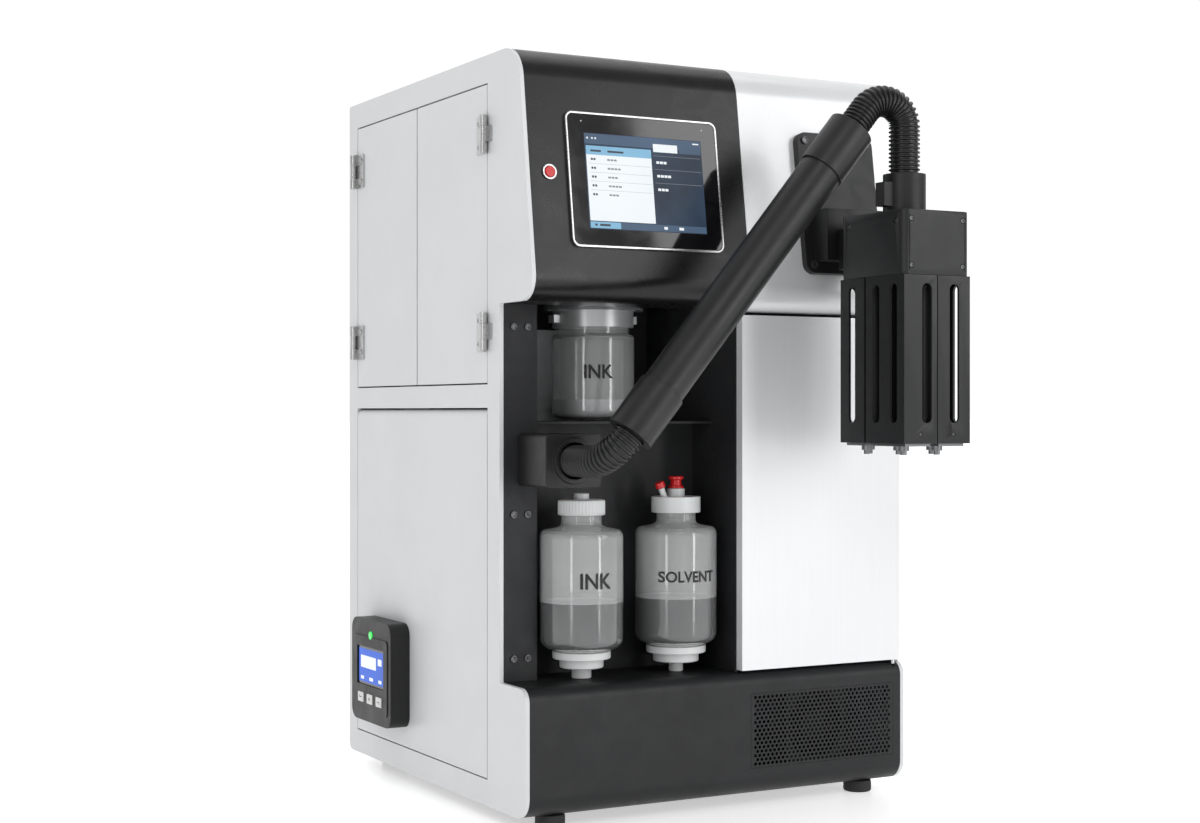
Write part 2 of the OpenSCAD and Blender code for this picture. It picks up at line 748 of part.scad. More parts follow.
// Tank bay
module tank_lid() {
    color([0.3, 0.31, 0.33])
        rod_z(collar_top, ceiling_z, tank_x, tank_y, jar_d + 21);
}
module tank_collar() {
    color([0.12, 0.12, 0.13]) difference() {
        union() {
            rod_z(collar_top - collar_h, collar_top, tank_x, tank_y, jar_d - 2);
            for (s = [-1, 1])
                translate([tank_x + s * (jar_d / 2 + 1.5), tank_y, collar_top - 14])
                    block([-5, 5], [-7, 7], [0, 9]);
        }
        rod_z(collar_top - collar_h - eps, collar_top - collar_seat, tank_x, tank_y, jar_neck_d);
    }
}
module tank_jar() {
    jar_low = jar_top - jar_h;
    color([0.85, 0.85, 0.8]) translate([tank_x, tank_y, 0]) difference() {
        union() {
            rod_z(jar_low, jar_top, 0, 0, jar_d);
            rod_z(jar_top - eps, collar_top - collar_seat, 0, 0, jar_neck_d);
        }
        rod_z(jar_low + bottle_wall, jar_top - bottle_wall, 0, 0, jar_d - 2 * bottle_wall);
        rod_z(jar_low + 10, collar_top, 0, 0, jar_neck_d - 2 * bottle_wall);
    }
}

// Bottles
module bottle(x) {
    r = bottle_d / 2;
    w = bottle_wall;
    neck = neck_d / 2;
    wall = [[0, body_low], [r - 12, body_low], [r - 4, body_low + 2], [r, body_low + 7],
        [r, shoulder_z], [r - 4, shoulder_z + 5], [neck + 5, shoulder_z + 10],
        [neck, shoulder_z + 14], [neck, neck_top], [neck - w, neck_top],
        [neck - w, shoulder_z + 13], [neck + 4, shoulder_z + 8.5], [r - 5, shoulder_z + 4],
        [r - w, shoulder_z - 1], [r - w, body_low + 8], [r - 5, body_low + 3.5],
        [r - 12, body_low + w], [0, body_low + w]];
    color([0.85, 0.82, 0.75, 0.6]) translate([x, bottle_y, 0])
        rotate_extrude() polygon(wall);
}
module bottle_base(x, ring_d, stub_d, tint) {
    color(tint) translate([x, bottle_y, 0]) union() {
        rod_z(bottle_low, bottle_low + 14, 0, 0, stub_d);
        rod_z(bottle_low + 12, bottle_low + 23, 0, 0, ring_d - 16);
        rod_z(bottle_low + 23 - eps, bottle_low + 31, 0, 0, ring_d);
        rod_z(bottle_low + 30, body_low, 0, 0, ring_d - 6);
    }
}
module bottle_cap(x, cap_d) {
    cap_z = shoulder_z + 24;
    color([0.1, 0.1, 0.11]) translate([x, bottle_y, 0]) difference() {
        rod_z(cap_z, neck_top + 4, 0, 0, cap_d);
        rod_z(cap_z - eps, neck_top, 0, 0, neck_d + 0.1);
    }
}
module ink_bottle() {
    bottle(ink_x);
}
module ink_bottle_cap() {
    bottle_cap(ink_x, neck_d + 8);
    color([0.1, 0.1, 0.11]) rod_z(neck_top + 3, neck_top + 10, ink_x, bottle_y, 17);
}
module ink_bottle_base() {
    bottle_base(ink_x, 65, 22, [0.12, 0.12, 0.13]);
}
module solvent_bottle() {
    bottle(solvent_x);
}
module solvent_bottle_cap() {
    color([0.1, 0.1, 0.11]) difference() {
        union() {
            bottle_cap(solvent_x, neck_d + 11);
            rod_z(neck_top + 3, neck_top + cap_rise, solvent_x, bottle_y, 20);
            pointing(vent_foot, vent_dir) cylinder(h = vent_l, d = 7);
        }
        rod_z(neck_top + 4.5, neck_top + cap_rise + eps, solvent_x, bottle_y, 9.6);
        pointing(vent_foot, vent_dir) translate([0, 0, 3]) cylinder(h = vent_l, d = 3.6);
    }
}
module solvent_bottle_base() {
    bottle_base(solvent_x, 68, 16, [0.12, 0.12, 0.13]);
}
module fill_plug() {
    top = neck_top + cap_rise;
    color("firebrick") union() {
        rod_z(top + fit, top + 3, solvent_x, bottle_y, 17.7);
        rod_z(top + 2, top + 14, solvent_x, bottle_y, 13.3);
        rod_z(top - 8, top + 1, solvent_x, bottle_y, 9);
    }
}
module vent_plug() {
    color("firebrick") pointing(vent_foot, vent_dir) union() {
        translate([0, 0, vent_l + fit]) cylinder(h = 7, d = 11);
        translate([0, 0, 4]) cylinder(h = vent_l, d = 3);
    }
}

// Umbilical
module outlet_box() {
    color([0.14, 0.15, 0.16]) difference() {
        union() {
            translate([outlet_x, 0, outlet_z])
                along_y(outlet_y, niche_y) rounded(outlet_w, outlet_h, 5);
            rod_y(outlet_y - 4, outlet_y + eps, outlet_x, outlet_z, mouth_d + 11);
        }
        rod_y(outlet_y - 5, niche_y - hose_hidden, outlet_x, outlet_z, mouth_d);
    }
}
module lower_hose() {
    path = concat([[[outlet_x, niche_y - hose_hidden, outlet_z], front_dir]],
        bend_path(bend_start, front_dir, tube_dir, outlet_bend_r),
        [[tube_start + hose_in * tube_dir, tube_dir]]);
    color([0.2, 0.2, 0.21]) swept(path, unit(cross(front_dir, tube_dir)), hose_d);
}
module sleeve(from, d) {
    pointing(from, d) difference() {
        cylinder(h = sleeve_l, d = sleeve_d);
        translate([0, 0, -eps]) cylinder(h = sleeve_l + 2, d = hose_d + 0.1);
        translate([0, 0, hose_in]) cylinder(h = sleeve_l, d = tube_d);
    }
}
module umbilical_sleeves() {
    color([0.3, 0.31, 0.33]) {
        sleeve(tube_start, tube_dir);
        sleeve(tube_end - hose_lead * tube_dir, -tube_dir);
    }
}
module umbilical_tube() {
    color([0.25, 0.26, 0.28]) pointing(tube_start + hose_in * tube_dir, tube_dir) difference() {
        cylinder(h = tube_run - hose_lead - 2 * hose_in, d = tube_d);
        translate([0, 0, 4])
            cylinder(h = tube_run - hose_lead - 2 * hose_in - 8, d = tube_d - 6);
    }
}
module upper_hose() {
    path = concat([[tube_end - (hose_lead + hose_in) * tube_dir, tube_dir]],
        bend_path(tube_end, tube_dir, down_dir, loop_bend_r),
        [[[head_x, head_y, housing_z + housing_h], down_dir]]);
    color([0.2, 0.2, 0.21]) swept(path, unit(cross(tube_dir, down_dir)), hose_d);
}
module head_collar() {
    z0 = housing_z + housing_h;
    color([0.16, 0.17, 0.18]) difference() {
        union() {
            rod_z(z0, z0 + 44, head_x, head_y, hose_d + 12.5);
            block([head_x - hose_d / 2 - 16, head_x], [head_y - 8, head_y + 8], [z0 + 8, z0 + 34]);
        }
        rod_z(z0 - eps, z0 + 45, head_x, head_y, hose_d + 0.1);
    }
}

// Print head and its bracket
module head_bracket() {
    color([0.2, 0.21, 0.22]) {
        on_slope(head_x, bracket_z) along_y(-bracket_t, 0) rounded(bracket_w, bracket_h, 12);
        difference() {
            union() {
                block([head_x - 40, head_x + 40], [print_y1 + 31, niche_y],
                    [housing_z + 25, housing_z + 84]);
                block([head_x - 24, head_x + 24], [print_y1, print_y1 + 32],
                    [housing_z + 14, housing_z + 60]);
            }
            along_x(head_x - 60, head_x + 60)
                polygon([[slope_y(top_z) - 4, top_z], [slope_y(cover_z) - 4, cover_z],
                    [niche_y + 10, cover_z], [niche_y + 10, top_z]]);
        }
    }
}
module head_housing() {
    wall = 4;
    color([0.22, 0.23, 0.25]) difference() {
        translate([head_x, head_y, housing_z])
            linear_extrude(housing_h) rounded(print_w, print_d, 8);
        translate([head_x, head_y, housing_z - eps])
            linear_extrude(housing_h - wall + eps)
                rounded(print_w - 2 * wall, print_d - 2 * wall, 4);
    }
}
module obround_y(y0, y1, x, z0, z1, w) {
    block([x - w / 2, x + w / 2], [y0, y1], [z0 + w / 2, z1 - w / 2]);
    rod_y(y0, y1, x, z0 + w / 2, w);
    rod_y(y0, y1, x, z1 - w / 2, w);
}
module obround_x(x0, x1, y, z0, z1, w) {
    block([x0, x1], [y - w / 2, y + w / 2], [z0 + w / 2, z1 - w / 2]);
    rod_x(x0, x1, y, z0 + w / 2, w);
    rod_x(x0, x1, y, z1 - w / 2, w);
}
// Slotted square tube, with a slot through front and back at slot_x and one through its
// sides at each of ys
module shroud(x, y0, y1, slot_x, ys) {
    low = shroud_z + 22;
    high = housing_z - 9;
    difference() {
        block([x - post_w / 2, x + post_w / 2], [y0, y1], [shroud_z, housing_z]);
        block([x - post_w / 2 + shroud_t, x + post_w / 2 - shroud_t],
            [y0 + shroud_t, y1 - shroud_t], [shroud_z - eps, housing_z + eps]);
        obround_y(y0 - eps, y1 + eps, slot_x, low, high, slot_w);
        for (y = ys) obround_x(x - post_w, x + post_w, y, low, high, slot_w);
    }
}
module head_shrouds() {
    color([0.3, 0.31, 0.33])
        for (i = [0, 1]) {
            shroud(post_xs[i], print_y0, print_y0 + front_post_d, front_slot_xs[i],
                [front_mid - 15, front_mid + 16]);
            shroud(post_xs[i], print_y1 - rear_post_d, print_y1, rear_slot_xs[i], [rear_mid]);
        }
}
// Ribbed rod that hangs in a shroud, on a foot of depth d that carries two nozzles
module module_stack(x, y, d) {
    color("gray") union() {
        rod_z(shroud_z + 4, housing_z + 2, x + 8, y, 11);
        for (z = [shroud_z + 20 : 12 : housing_z - 12]) rod_z(z, z + 6, x + 8, y, 14);
        block([x - post_w / 2 + 5, x + post_w / 2 - 5], [y - d / 2, y + d / 2],
            [shroud_z - 3, shroud_z + 5]);
        for (s = [-1, 1]) {
            rod_z(shroud_z - 8, shroud_z, x + s * 8, y + s * d / 4, 12);
            rod_z(shroud_z - 12.4, shroud_z - 7, x + s * 8, y + s * d / 4, 7);
        }
    }
}
module head_modules() {
    plate = 6;
    color("gray") union() {
        translate([head_x, head_y, housing_z]) linear_extrude(plate)
            rounded(print_w - 9, print_d - 9, 4);
        for (x = post_xs) {
            module_stack(x, front_mid, front_post_d - 10);
            module_stack(x, rear_mid, rear_post_d - 10);
        }
    }
}

// Inner units
module ink_pump() {
    color("steelblue") {
        block([in_left + 25, in_left + 95], [unit_y - 45, unit_y + 45], [shelf_z, shelf_z + 60]);
        rod_z(shelf_z + 58, shelf_z + 130, in_left + 60, unit_y, 46);
    }
}
module valve_block() {
    x0 = in_left + 120;
    color("silver") {
        block([x0, x0 + 120], [unit_y - 20, unit_y + 20], [shelf_z, shelf_z + 40]);
        for (i = [0:3]) rod_z(shelf_z + 39, shelf_z + 78, x0 + 15 + 30 * i, unit_y, 22);
    }
}
module power_supply() {
    floor_z = foot_h + tray_t;
    color("silver") difference() {
        block([in_left + 30, in_left + 170], [supply_y, supply_y + 200], [floor_z, floor_z + 70]);
        for (i = [0:9])
            block([in_left + 20, in_left + 180],
                [supply_y + 30 + 14 * i, supply_y + 36 + 14 * i], [floor_z + 20, floor_z + 56]);
    }
}
module control_board() {
    x0 = in_right - 9;
    y0 = board_y;
    z0 = base_top + 60;
    posts = [y0 + 10, y0 + 210];
    color("seagreen") difference() {
        union() {
            block([x0 - 1.6, x0], [y0, y0 + 220], [z0, z0 + 240]);
            for (y = posts) for (z = [z0 + 10, z0 + 230]) rod_x(x0 - 0.5, in_right, y, z, 7);
            for (i = [0:3]) block([x0 - 15, x0 - 1], [y0 + 20 + 48 * i, y0 + 54 + 48 * i],
                [z0 + 30, z0 + 60]);
            block([x0 - 12, x0 - 1], [y0 + 50, y0 + 150], [z0 + 100, z0 + 190]);
        }
        for (y = posts) for (z = [z0 + 10, z0 + 230]) rod_x(x0 - 5, in_right - 2, y, z, 3.2);
    }
}
module fan_frame() {
    s = fan_size / 2;
    depth = 25;
    color([0.1, 0.1, 0.1]) union() {
        difference() {
            block([fan_x - s, fan_x + s], [fan_y, fan_y + depth], [fan_z - s, fan_z + s]);
            rod_y(fan_y - eps, fan_y + depth + eps, fan_x, fan_z, fan_size - 4);
        }
        intersection() {
            rod_y(fan_y + depth - 3, fan_y + depth, fan_x, fan_z, fan_size - 2);
            for (a = [0, 90]) translate([fan_x, 0, fan_z]) rotate([0, a + 45, 0])
                block([-3, 3], [fan_y, fan_y + 30], [-s, s]);
        }
        rod_y(fan_y + depth - 3, fan_y + depth, fan_x, fan_z, 34);
        rod_y(fan_y + 6, fan_y + depth - eps, fan_x, fan_z, 4);
    }
}
module fan_rotor() {
    y0 = fan_y + 4;
    y1 = fan_y + 21.7;
    color([0.13, 0.13, 0.14]) difference() {
        union() {
            rod_y(y0, y1, fan_x, fan_z, 32);
            for (i = [0:6]) translate([fan_x, (y0 + y1) / 2, fan_z]) rotate([0, i * 360 / 7, 0])
                translate([14, 0, 0]) rotate([38, 0, 0])
                    block([0, fan_size / 2 - 18], [-9, 9], [-0.8, 0.8]);
        }
        rod_y(y0 + 1.5, y1 + eps, fan_x, fan_z, 4.1);
    }
}
module power_inlet() {
    x = inlet_x;
    z = inlet_z;
    plug_w = inlet_w - 0.2;
    plug_h = inlet_h - 0.2;
    color([0.08, 0.08, 0.08]) difference() {
        union() {
            block([x - plug_w / 2, x + plug_w / 2], [back_y - 24, back_y],
                [z - plug_h / 2, z + plug_h / 2]);
            block([x - 29, x + 29], [back_y, back_y + back_out], [z - 16, z + 16]);
        }
        block([x - 12, x + 12], [back_y - 16, back_y + 5], [z - 8, z + 8]);
        for (s = [-1, 1]) rod_y(back_y - 2, back_y + 5, x + s * 18, z, 3.4);
    }
    for (i = [-1, 0, 1]) block([x - 1 + i * 7, x + 1 + i * 7], [back_y - 16.5, back_y - 3],
        [z - 2 - abs(i), z + 2 - abs(i)]);
}
// Button-head screw on the slanted front, d wide, standing on a surface out mm proud of it
module slope_screw(x, z, out, d) {
    on_slope(x, z) rod_y(-out - 2.2, -out, 0, 0, d);
}
module panel_screws() {
    screw_x = bracket_w / 2 - 10;
    screw_z = bracket_h / 2 - 10.5;
    color("silver") {
        for (x = [-screw_x, screw_x]) for (z = [-screw_z, screw_z])
            slope_screw(head_x + x, bracket_z + z, bracket_t, 9);
        for (x = [in_left + 12, niche_x0 - 12])
            for (z = [base_top + 25, outlet_z - 60, head_z - 25])
                rod_y(niche_y - 2, niche_y, x, z, 8);
        for (x = [in_left + 20, mid_x, in_right - 20]) for (z = [foot_h + 26, top_z - 20])
            rod_y(back_y, back_y + back_out, x, z, 8);
    }
}

left_side_panel();
right_side_panel();
back_panel();
top_cover();
base_tray();
head_fascia();
upper_front_cover();
base_fascia();
vent_grille();
niche_liner();
niche_shelf();
tank_back_plate();
feet();
hinge_frame_leaves();
hinge_pins();
screen_bezel();
screen_glass();
button_collar();
outlet_box();
lower_hose();
umbilical_sleeves();
umbilical_tube();
upper_hose();
head_collar();
head_bracket();
head_housing();
head_shrouds();
head_modules();
tank_lid();
tank_collar();
tank_jar();
ink_pump();
valve_block();
power_supply();
control_board();
fan_frame();
power_inlet();
panel_screws();
fan_rotor();
rear_side_door();
rear_door_hinge_leaves();
fore_side_door();
fore_door_hinge_leaves();
service_flap();
remote_case();
remote_screen();
remote_power_button();
remote_key_left();
remote_key_middle();
remote_key_right();
front_door();
stop_button();
ink_bottle();
ink_bottle_cap();
ink_bottle_base();
solvent_bottle();
solvent_bottle_cap();
solvent_bottle_base();
fill_plug();
vent_plug();
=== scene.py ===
"""Looks of a cabinet date-code inkjet printer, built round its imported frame. Metres throughout."""
import json
import math

import bpy
from mathutils import Matrix, Vector

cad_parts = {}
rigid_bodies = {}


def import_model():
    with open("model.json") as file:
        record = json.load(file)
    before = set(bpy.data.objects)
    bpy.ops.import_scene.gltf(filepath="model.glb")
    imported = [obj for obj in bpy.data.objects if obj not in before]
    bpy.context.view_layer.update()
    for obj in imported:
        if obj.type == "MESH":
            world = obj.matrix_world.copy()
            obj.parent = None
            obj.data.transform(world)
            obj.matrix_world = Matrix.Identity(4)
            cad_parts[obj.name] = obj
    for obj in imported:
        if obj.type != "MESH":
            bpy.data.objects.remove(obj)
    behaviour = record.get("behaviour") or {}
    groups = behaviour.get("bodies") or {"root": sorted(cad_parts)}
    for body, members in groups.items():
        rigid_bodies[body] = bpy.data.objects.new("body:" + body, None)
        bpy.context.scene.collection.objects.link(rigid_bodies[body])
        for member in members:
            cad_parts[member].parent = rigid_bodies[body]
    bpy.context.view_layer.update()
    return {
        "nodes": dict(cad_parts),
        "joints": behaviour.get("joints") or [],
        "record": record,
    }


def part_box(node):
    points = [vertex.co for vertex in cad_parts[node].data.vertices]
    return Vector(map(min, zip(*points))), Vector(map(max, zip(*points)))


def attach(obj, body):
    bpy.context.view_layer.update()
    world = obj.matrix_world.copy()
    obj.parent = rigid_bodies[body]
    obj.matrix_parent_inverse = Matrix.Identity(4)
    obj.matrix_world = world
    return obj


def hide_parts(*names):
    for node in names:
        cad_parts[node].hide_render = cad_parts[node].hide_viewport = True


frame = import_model()
nodes = frame["nodes"]
body_of_node = {n: b for b, ns in frame["record"]["behaviour"]["bodies"].items() for n in ns}
press_axis = next(Vector(j["axis"]) for j in frame["joints"] if j["name"] == "stop_press")
LEAN = math.atan2(-press_axis.z, press_axis.y)
MM = 0.001


# Working with the selection
def deselect():
    if bpy.context.object and bpy.context.object.mode != "OBJECT":
        bpy.ops.object.mode_set(mode="OBJECT")
    bpy.ops.object.select_all(action="DESELECT")


def take(piece):
    deselect()
    piece.select_set(True)
    bpy.context.view_layer.objects.active = piece


def edit(piece, select="SELECT"):
    take(piece)
    bpy.ops.object.mode_set(mode="EDIT")
    bpy.ops.mesh.select_mode(type="VERT")
    bpy.ops.mesh.select_all(action=select)


def settle(piece):
    """Puts the piece's place, turn and scale into its mesh."""
    take(piece)
    bpy.ops.object.transform_apply(location=True, rotation=True, scale=True)


def apply(piece, kind, **settings):
    take(piece)
    modifier = piece.modifiers.new(kind.lower(), kind)
    for key, value in settings.items():
        setattr(modifier, key, value)
    bpy.ops.object.modifier_apply(modifier=modifier.name)


def join(pieces):
    take(pieces[0])
    for piece in pieces:
        piece.select_set(True)
    bpy.ops.object.join()
    return bpy.context.object


def face_out(piece):
    edit(piece)
    bpy.ops.mesh.normals_make_consistent(inside=False)
    bpy.ops.object.mode_set(mode="OBJECT")


def smooth(piece, degrees=35):
    take(piece)
    bpy.ops.object.shade_smooth_by_angle(angle=math.radians(degrees))


def hand_over(piece, name, node, material, replace=True):
    """Names a finished piece, gives it its material, and fixes it to the body of a CAD node."""
    piece.name = name
    piece.data.name = name
    if material:
        piece.data.materials.clear()
        piece.data.materials.append(material)
    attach(piece, body_of_node[node])
    if replace:
        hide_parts(node)
    return piece


def middle(node):
    low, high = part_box(node)
    return (low + high) / 2


# Shared node groups
def new_group(name, inputs, outputs):
    tree = bpy.data.node_groups.new(name, "ShaderNodeTree")
    for label, kind, value in inputs:
        socket = tree.interface.new_socket(label, in_out="INPUT", socket_type=kind)
        if value is not None:
            socket.default_value = value
    for label, kind in outputs:
        tree.interface.new_socket(label, in_out="OUTPUT", socket_type=kind)
    return tree, tree.nodes.new("NodeGroupInput"), tree.nodes.new("NodeGroupOutput")


def surface_film():
    """Fine grain, broad mottling and faint smudges of a painted or moulded surface."""
    tree, given, result = new_group(
        "surface_film",
        [("Vector", "NodeSocketVector", None), ("Grain Scale", "NodeSocketFloat", 900.0),
         ("Mottle Scale", "NodeSocketFloat", 9.0)],
        [("Grain", "NodeSocketFloat"), ("Mottle", "NodeSocketFloat"),
         ("Smudge", "NodeSocketFloat")])
    link = tree.links.new
    grain = tree.nodes.new("ShaderNodeTexNoise")
    grain.inputs["Detail"].default_value = 3
    mottle = tree.nodes.new("ShaderNodeTexNoise")
    mottle.inputs["Detail"].default_value = 4
    smudge = tree.nodes.new("ShaderNodeTexNoise")
    smudge.inputs["Scale"].default_value = 26
    smudge.inputs["Detail"].default_value = 6
    smudge.inputs["Distortion"].default_value = 1.2
    for noise in (grain, mottle, smudge):
        link(given.outputs["Vector"], noise.inputs["Vector"])
    link(given.outputs["Grain Scale"], grain.inputs["Scale"])
    link(given.outputs["Mottle Scale"], mottle.inputs["Scale"])
    for noise, label, low, high in ((grain, "Grain", 0.3, 0.7), (mottle, "Mottle", 0.32, 0.68),
                                    (smudge, "Smudge", 0.35, 0.7)):
        spread = tree.nodes.new("ShaderNodeMapRange")
        spread.inputs["From Min"].default_value = low
        spread.inputs["From Max"].default_value = high
        link(noise.outputs["Fac"], spread.inputs["Value"])
        link(spread.outputs["Result"], result.inputs[label])
    return tree


def brushed_lines():
    """Long fine scratches along one direction, as brushing leaves them."""
    tree, given, result = new_group(
        "brushed_lines",
        [("Vector", "NodeSocketVector", None), ("Stretch", "NodeSocketVector", (900, 900, 12))],
        [("Lines", "NodeSocketFloat")])
    scale = tree.nodes.new("ShaderNodeVectorMath")
    scale.operation = "MULTIPLY"
    lines = tree.nodes.new("ShaderNodeTexNoise")
    lines.inputs["Scale"].default_value = 1
    lines.inputs["Detail"].default_value = 4
    tree.links.new(given.outputs["Vector"], scale.inputs[0])
    tree.links.new(given.outputs["Stretch"], scale.inputs[1])
    tree.links.new(scale.outputs["Vector"], lines.inputs["Vector"])
    tree.links.new(lines.outputs["Fac"], result.inputs["Lines"])
    return tree


FILM = surface_film()
BRUSH = brushed_lines()


# Materials
def shader_material(name):
    material = bpy.data.materials.new(name)
    material.use_nodes = True
    tree = material.node_tree
    shader = tree.nodes["Principled BSDF"]
    place = tree.nodes.new("ShaderNodeTexCoord")
    return material, tree, shader, place


def use_group(tree, group, place, **values):
    node = tree.nodes.new("ShaderNodeGroup")
    node.node_tree = group
    tree.links.new(place.outputs["Object"], node.inputs["Vector"])
    for key, value in values.items():
        node.inputs[key.replace("_", " ")].default_value = value
    return node


def blend_colors(tree, mask, color_a, color_b):
    mix = tree.nodes.new("ShaderNodeMix")
    mix.data_type = "RGBA"
    mix.inputs["A"].default_value = (*color_a, 1)
    mix.inputs["B"].default_value = (*color_b, 1)
    tree.links.new(mask, mix.inputs["Factor"])
    return mix.outputs["Result"]


def spread_value(tree, mask, low, high):
    node = tree.nodes.new("ShaderNodeMapRange")
    node.inputs["To Min"].default_value = low
    node.inputs["To Max"].default_value = high
    tree.links.new(mask, node.inputs["Value"])
    return node.outputs["Result"]


def add_bump(tree, shader, height, strength, distance):
    bump = tree.nodes.new("ShaderNodeBump")
    bump.inputs["Strength"].default_value = strength
    bump.inputs["Distance"].default_value = distance
    tree.links.new(height, bump.inputs["Height"])
    tree.links.new(bump.outputs["Normal"], shader.inputs["Normal"])


def set_sockets(shader, sockets):
    for label, value in sockets.items():
        shader.inputs[label].default_value = value


def film_material(name, color, shift, rough, grain=900.0, relief=0.12, mottle=9.0, **sockets):
    """Painted or moulded finish: color drifts by shift, and roughness runs over rough."""
    material, tree, shader, place = shader_material(name)
    film = use_group(tree, FILM, place, Grain_Scale=grain, Mottle_Scale=mottle)
    other = tuple(max(0, c * (1 + shift)) for c in color)
    tree.links.new(blend_colors(tree, film.outputs["Mottle"], color, other),
                   shader.inputs["Base Color"])
    tree.links.new(spread_value(tree, film.outputs["Smudge"], *rough),
                   shader.inputs["Roughness"])
    add_bump(tree, shader, film.outputs["Grain"], relief, 0.0002)
    set_sockets(shader, sockets)
    return material


def brushed_material(name, color, shift, rough, stretch, relief=0.1, **sockets):
    """Metal with fine parallel lines, whose tone and roughness follow the lines."""
    material, tree, shader, place = shader_material(name)
    lines = use_group(tree, BRUSH, place, Stretch=stretch)
    other = tuple(c * (1 + shift) for c in color)
    tree.links.new(blend_colors(tree, lines.outputs["Lines"], color, other),
                   shader.inputs["Base Color"])
    tree.links.new(spread_value(tree, lines.outputs["Lines"], *rough),
                   shader.inputs["Roughness"])
    add_bump(tree, shader, lines.outputs["Lines"], relief, 0.0001)
    set_sockets(shader, sockets)
    return material


def lit_material(name, color, strength, shift=0.12):
    """Lit part of a screen: its glow drifts softly over the picture."""
    material, tree, shader, place = shader_material(name)
    film = use_group(tree, FILM, place, Mottle_Scale=14.0)
    other = tuple(min(1, c * (1 + shift)) for c in color)
    glow = blend_colors(tree, film.outputs["Mottle"], color, other)
    tree.links.new(glow, shader.inputs["Emission Color"])
    set_sockets(shader, {"Emission Strength": strength, "Roughness": 0.25,
                         "Base Color": (0.02, 0.02, 0.02, 1), "Specular IOR Level": 0.12})
    return material


def clear_material(name, color, rough, **sockets):
    """Glass or liquid, with faint smears in its gloss."""
    material, tree, shader, place = shader_material(name)
    film = use_group(tree, FILM, place, Mottle_Scale=20.0)
    tree.links.new(blend_colors(tree, film.outputs["Mottle"], color,
                                tuple(c * 0.97 for c in color)), shader.inputs["Base Color"])
    tree.links.new(spread_value(tree, film.outputs["Smudge"], *rough),
                   shader.inputs["Roughness"])
    set_sockets(shader, sockets)
    return material


WHITE_PAINT = film_material("white_paint", (0.62, 0.63, 0.64), -0.035, (0.36, 0.46), relief=0.1,
                            **{"Coat Weight": 0.1, "Coat Roughness": 0.25})
WHITE_FRONT = brushed_material("white_front", (0.76, 0.77, 0.78), -0.07, (0.26, 0.4),
                               (700, 700, 9), **{"Metallic": 0.2, "Coat Weight": 0.2})
BLACK_PAINT = film_material("black_paint", (0.006, 0.006, 0.0065), 0.3, (0.26, 0.34), relief=0.06,
                            **{"Specular IOR Level": 0.34})
CHARCOAL = film_material("charcoal_paint", (0.010, 0.0105, 0.0115), 0.25, (0.40, 0.52),
                         grain=700.0, relief=0.25, **{"Specular IOR Level": 0.3})
LINER_DARK = film_material("liner_paint", (0.014, 0.0145, 0.016), 0.25, (0.45, 0.6), relief=0.2,
                           **{"Specular IOR Level": 0.3})
LIGHT_PLATE = film_material("light_plate", (0.62, 0.64, 0.65), -0.06, (0.45, 0.6))
RUBBER = film_material("foot_rubber", (0.012, 0.012, 0.012), 0.4, (0.65, 0.8), grain=500.0,
                       relief=0.4)
STEEL = brushed_material("steel", (0.44, 0.44, 0.44), 0.3, (0.22, 0.36), (300, 300, 1500),
                         **{"Metallic": 1.0})
DARK_STEEL = brushed_material("dark_steel", (0.10, 0.10, 0.105), 0.3, (0.25, 0.4),
                              (900, 900, 900), **{"Metallic": 0.9})
PALE_METAL = brushed_material("pale_metal", (0.62, 0.63, 0.64), 0.12, (0.3, 0.42),
                              (60, 60, 1600), **{"Metallic": 0.55})
SMOKED = film_material("smoked_plastic", (0.12, 0.125, 0.13), 0.2, (0.2, 0.3), relief=0.04)
SILVER = brushed_material("bezel_silver", (0.50, 0.50, 0.50), 0.1, (0.22, 0.32),
                          (20, 1200, 1200), **{"Metallic": 1.0})
SCREEN_GLASS = film_material("screen_glass", (0.004, 0.004, 0.005), 0.2, (0.05, 0.1), relief=0.0,
                             **{"Coat Weight": 0.3, "Coat Roughness": 0.04})
DARK_PLASTIC = film_material("dark_plastic", (0.009, 0.009, 0.0095), 0.3, (0.38, 0.5),
                             grain=1100.0, relief=0.22, **{"Specular IOR Level": 0.36})
HOSE = film_material("hose_plastic", (0.008, 0.008, 0.0085), 0.4, (0.3, 0.42), grain=800.0,
                     **{"Specular IOR Level": 0.4})
JACKET = film_material("umbilical_jacket", (0.009, 0.009, 0.0095), 0.3, (0.36, 0.46), grain=600.0,
                       relief=0.15, **{"Specular IOR Level": 0.4})
HEAD_METAL = film_material("head_metal", (0.010, 0.0104, 0.011), 0.25, (0.34, 0.44),
                           grain=1500.0, relief=0.12, **{"Specular IOR Level": 0.34})
CAP_WHITE = film_material("cap_white", (0.66, 0.67, 0.67), -0.05, (0.28, 0.38), relief=0.05,
                          **{"Subsurface Weight": 0.05})
RED_PLASTIC = film_material("red_plastic", (0.50, 0.012, 0.014), 0.2, (0.22, 0.32), relief=0.03)
KEY_WHITE = film_material("key_white", (0.68, 0.68, 0.67), -0.05, (0.4, 0.5))
PUMP_METAL = brushed_material("pump_metal", (0.35, 0.37, 0.40), 0.2, (0.35, 0.5),
                              (400, 400, 60), **{"Metallic": 0.9})
NOZZLE_METAL = brushed_material("nozzle_metal", (0.16, 0.165, 0.17), 0.3, (0.28, 0.42),
                                (60, 60, 1200), **{"Metallic": 0.9})
BOARD_GREEN = film_material("circuit_board", (0.02, 0.12, 0.05), 0.3, (0.35, 0.5), mottle=60.0)
GLASS = clear_material("clear_glass", (0.95, 0.96, 0.96), (0.0, 0.03),
                       **{"Transmission Weight": 0.95, "IOR": 1.45})
# Glass with a white diffuse share: painted brightness that stands in for reflections. It is used above
# the bottles' liquid and on the whole jar.
GLASS_PAINTED_LIGHT = clear_material("glass_painted_light", (0.95, 0.96, 0.96), (0.0, 0.03),
                             **{"Transmission Weight": 0.80, "IOR": 1.45})
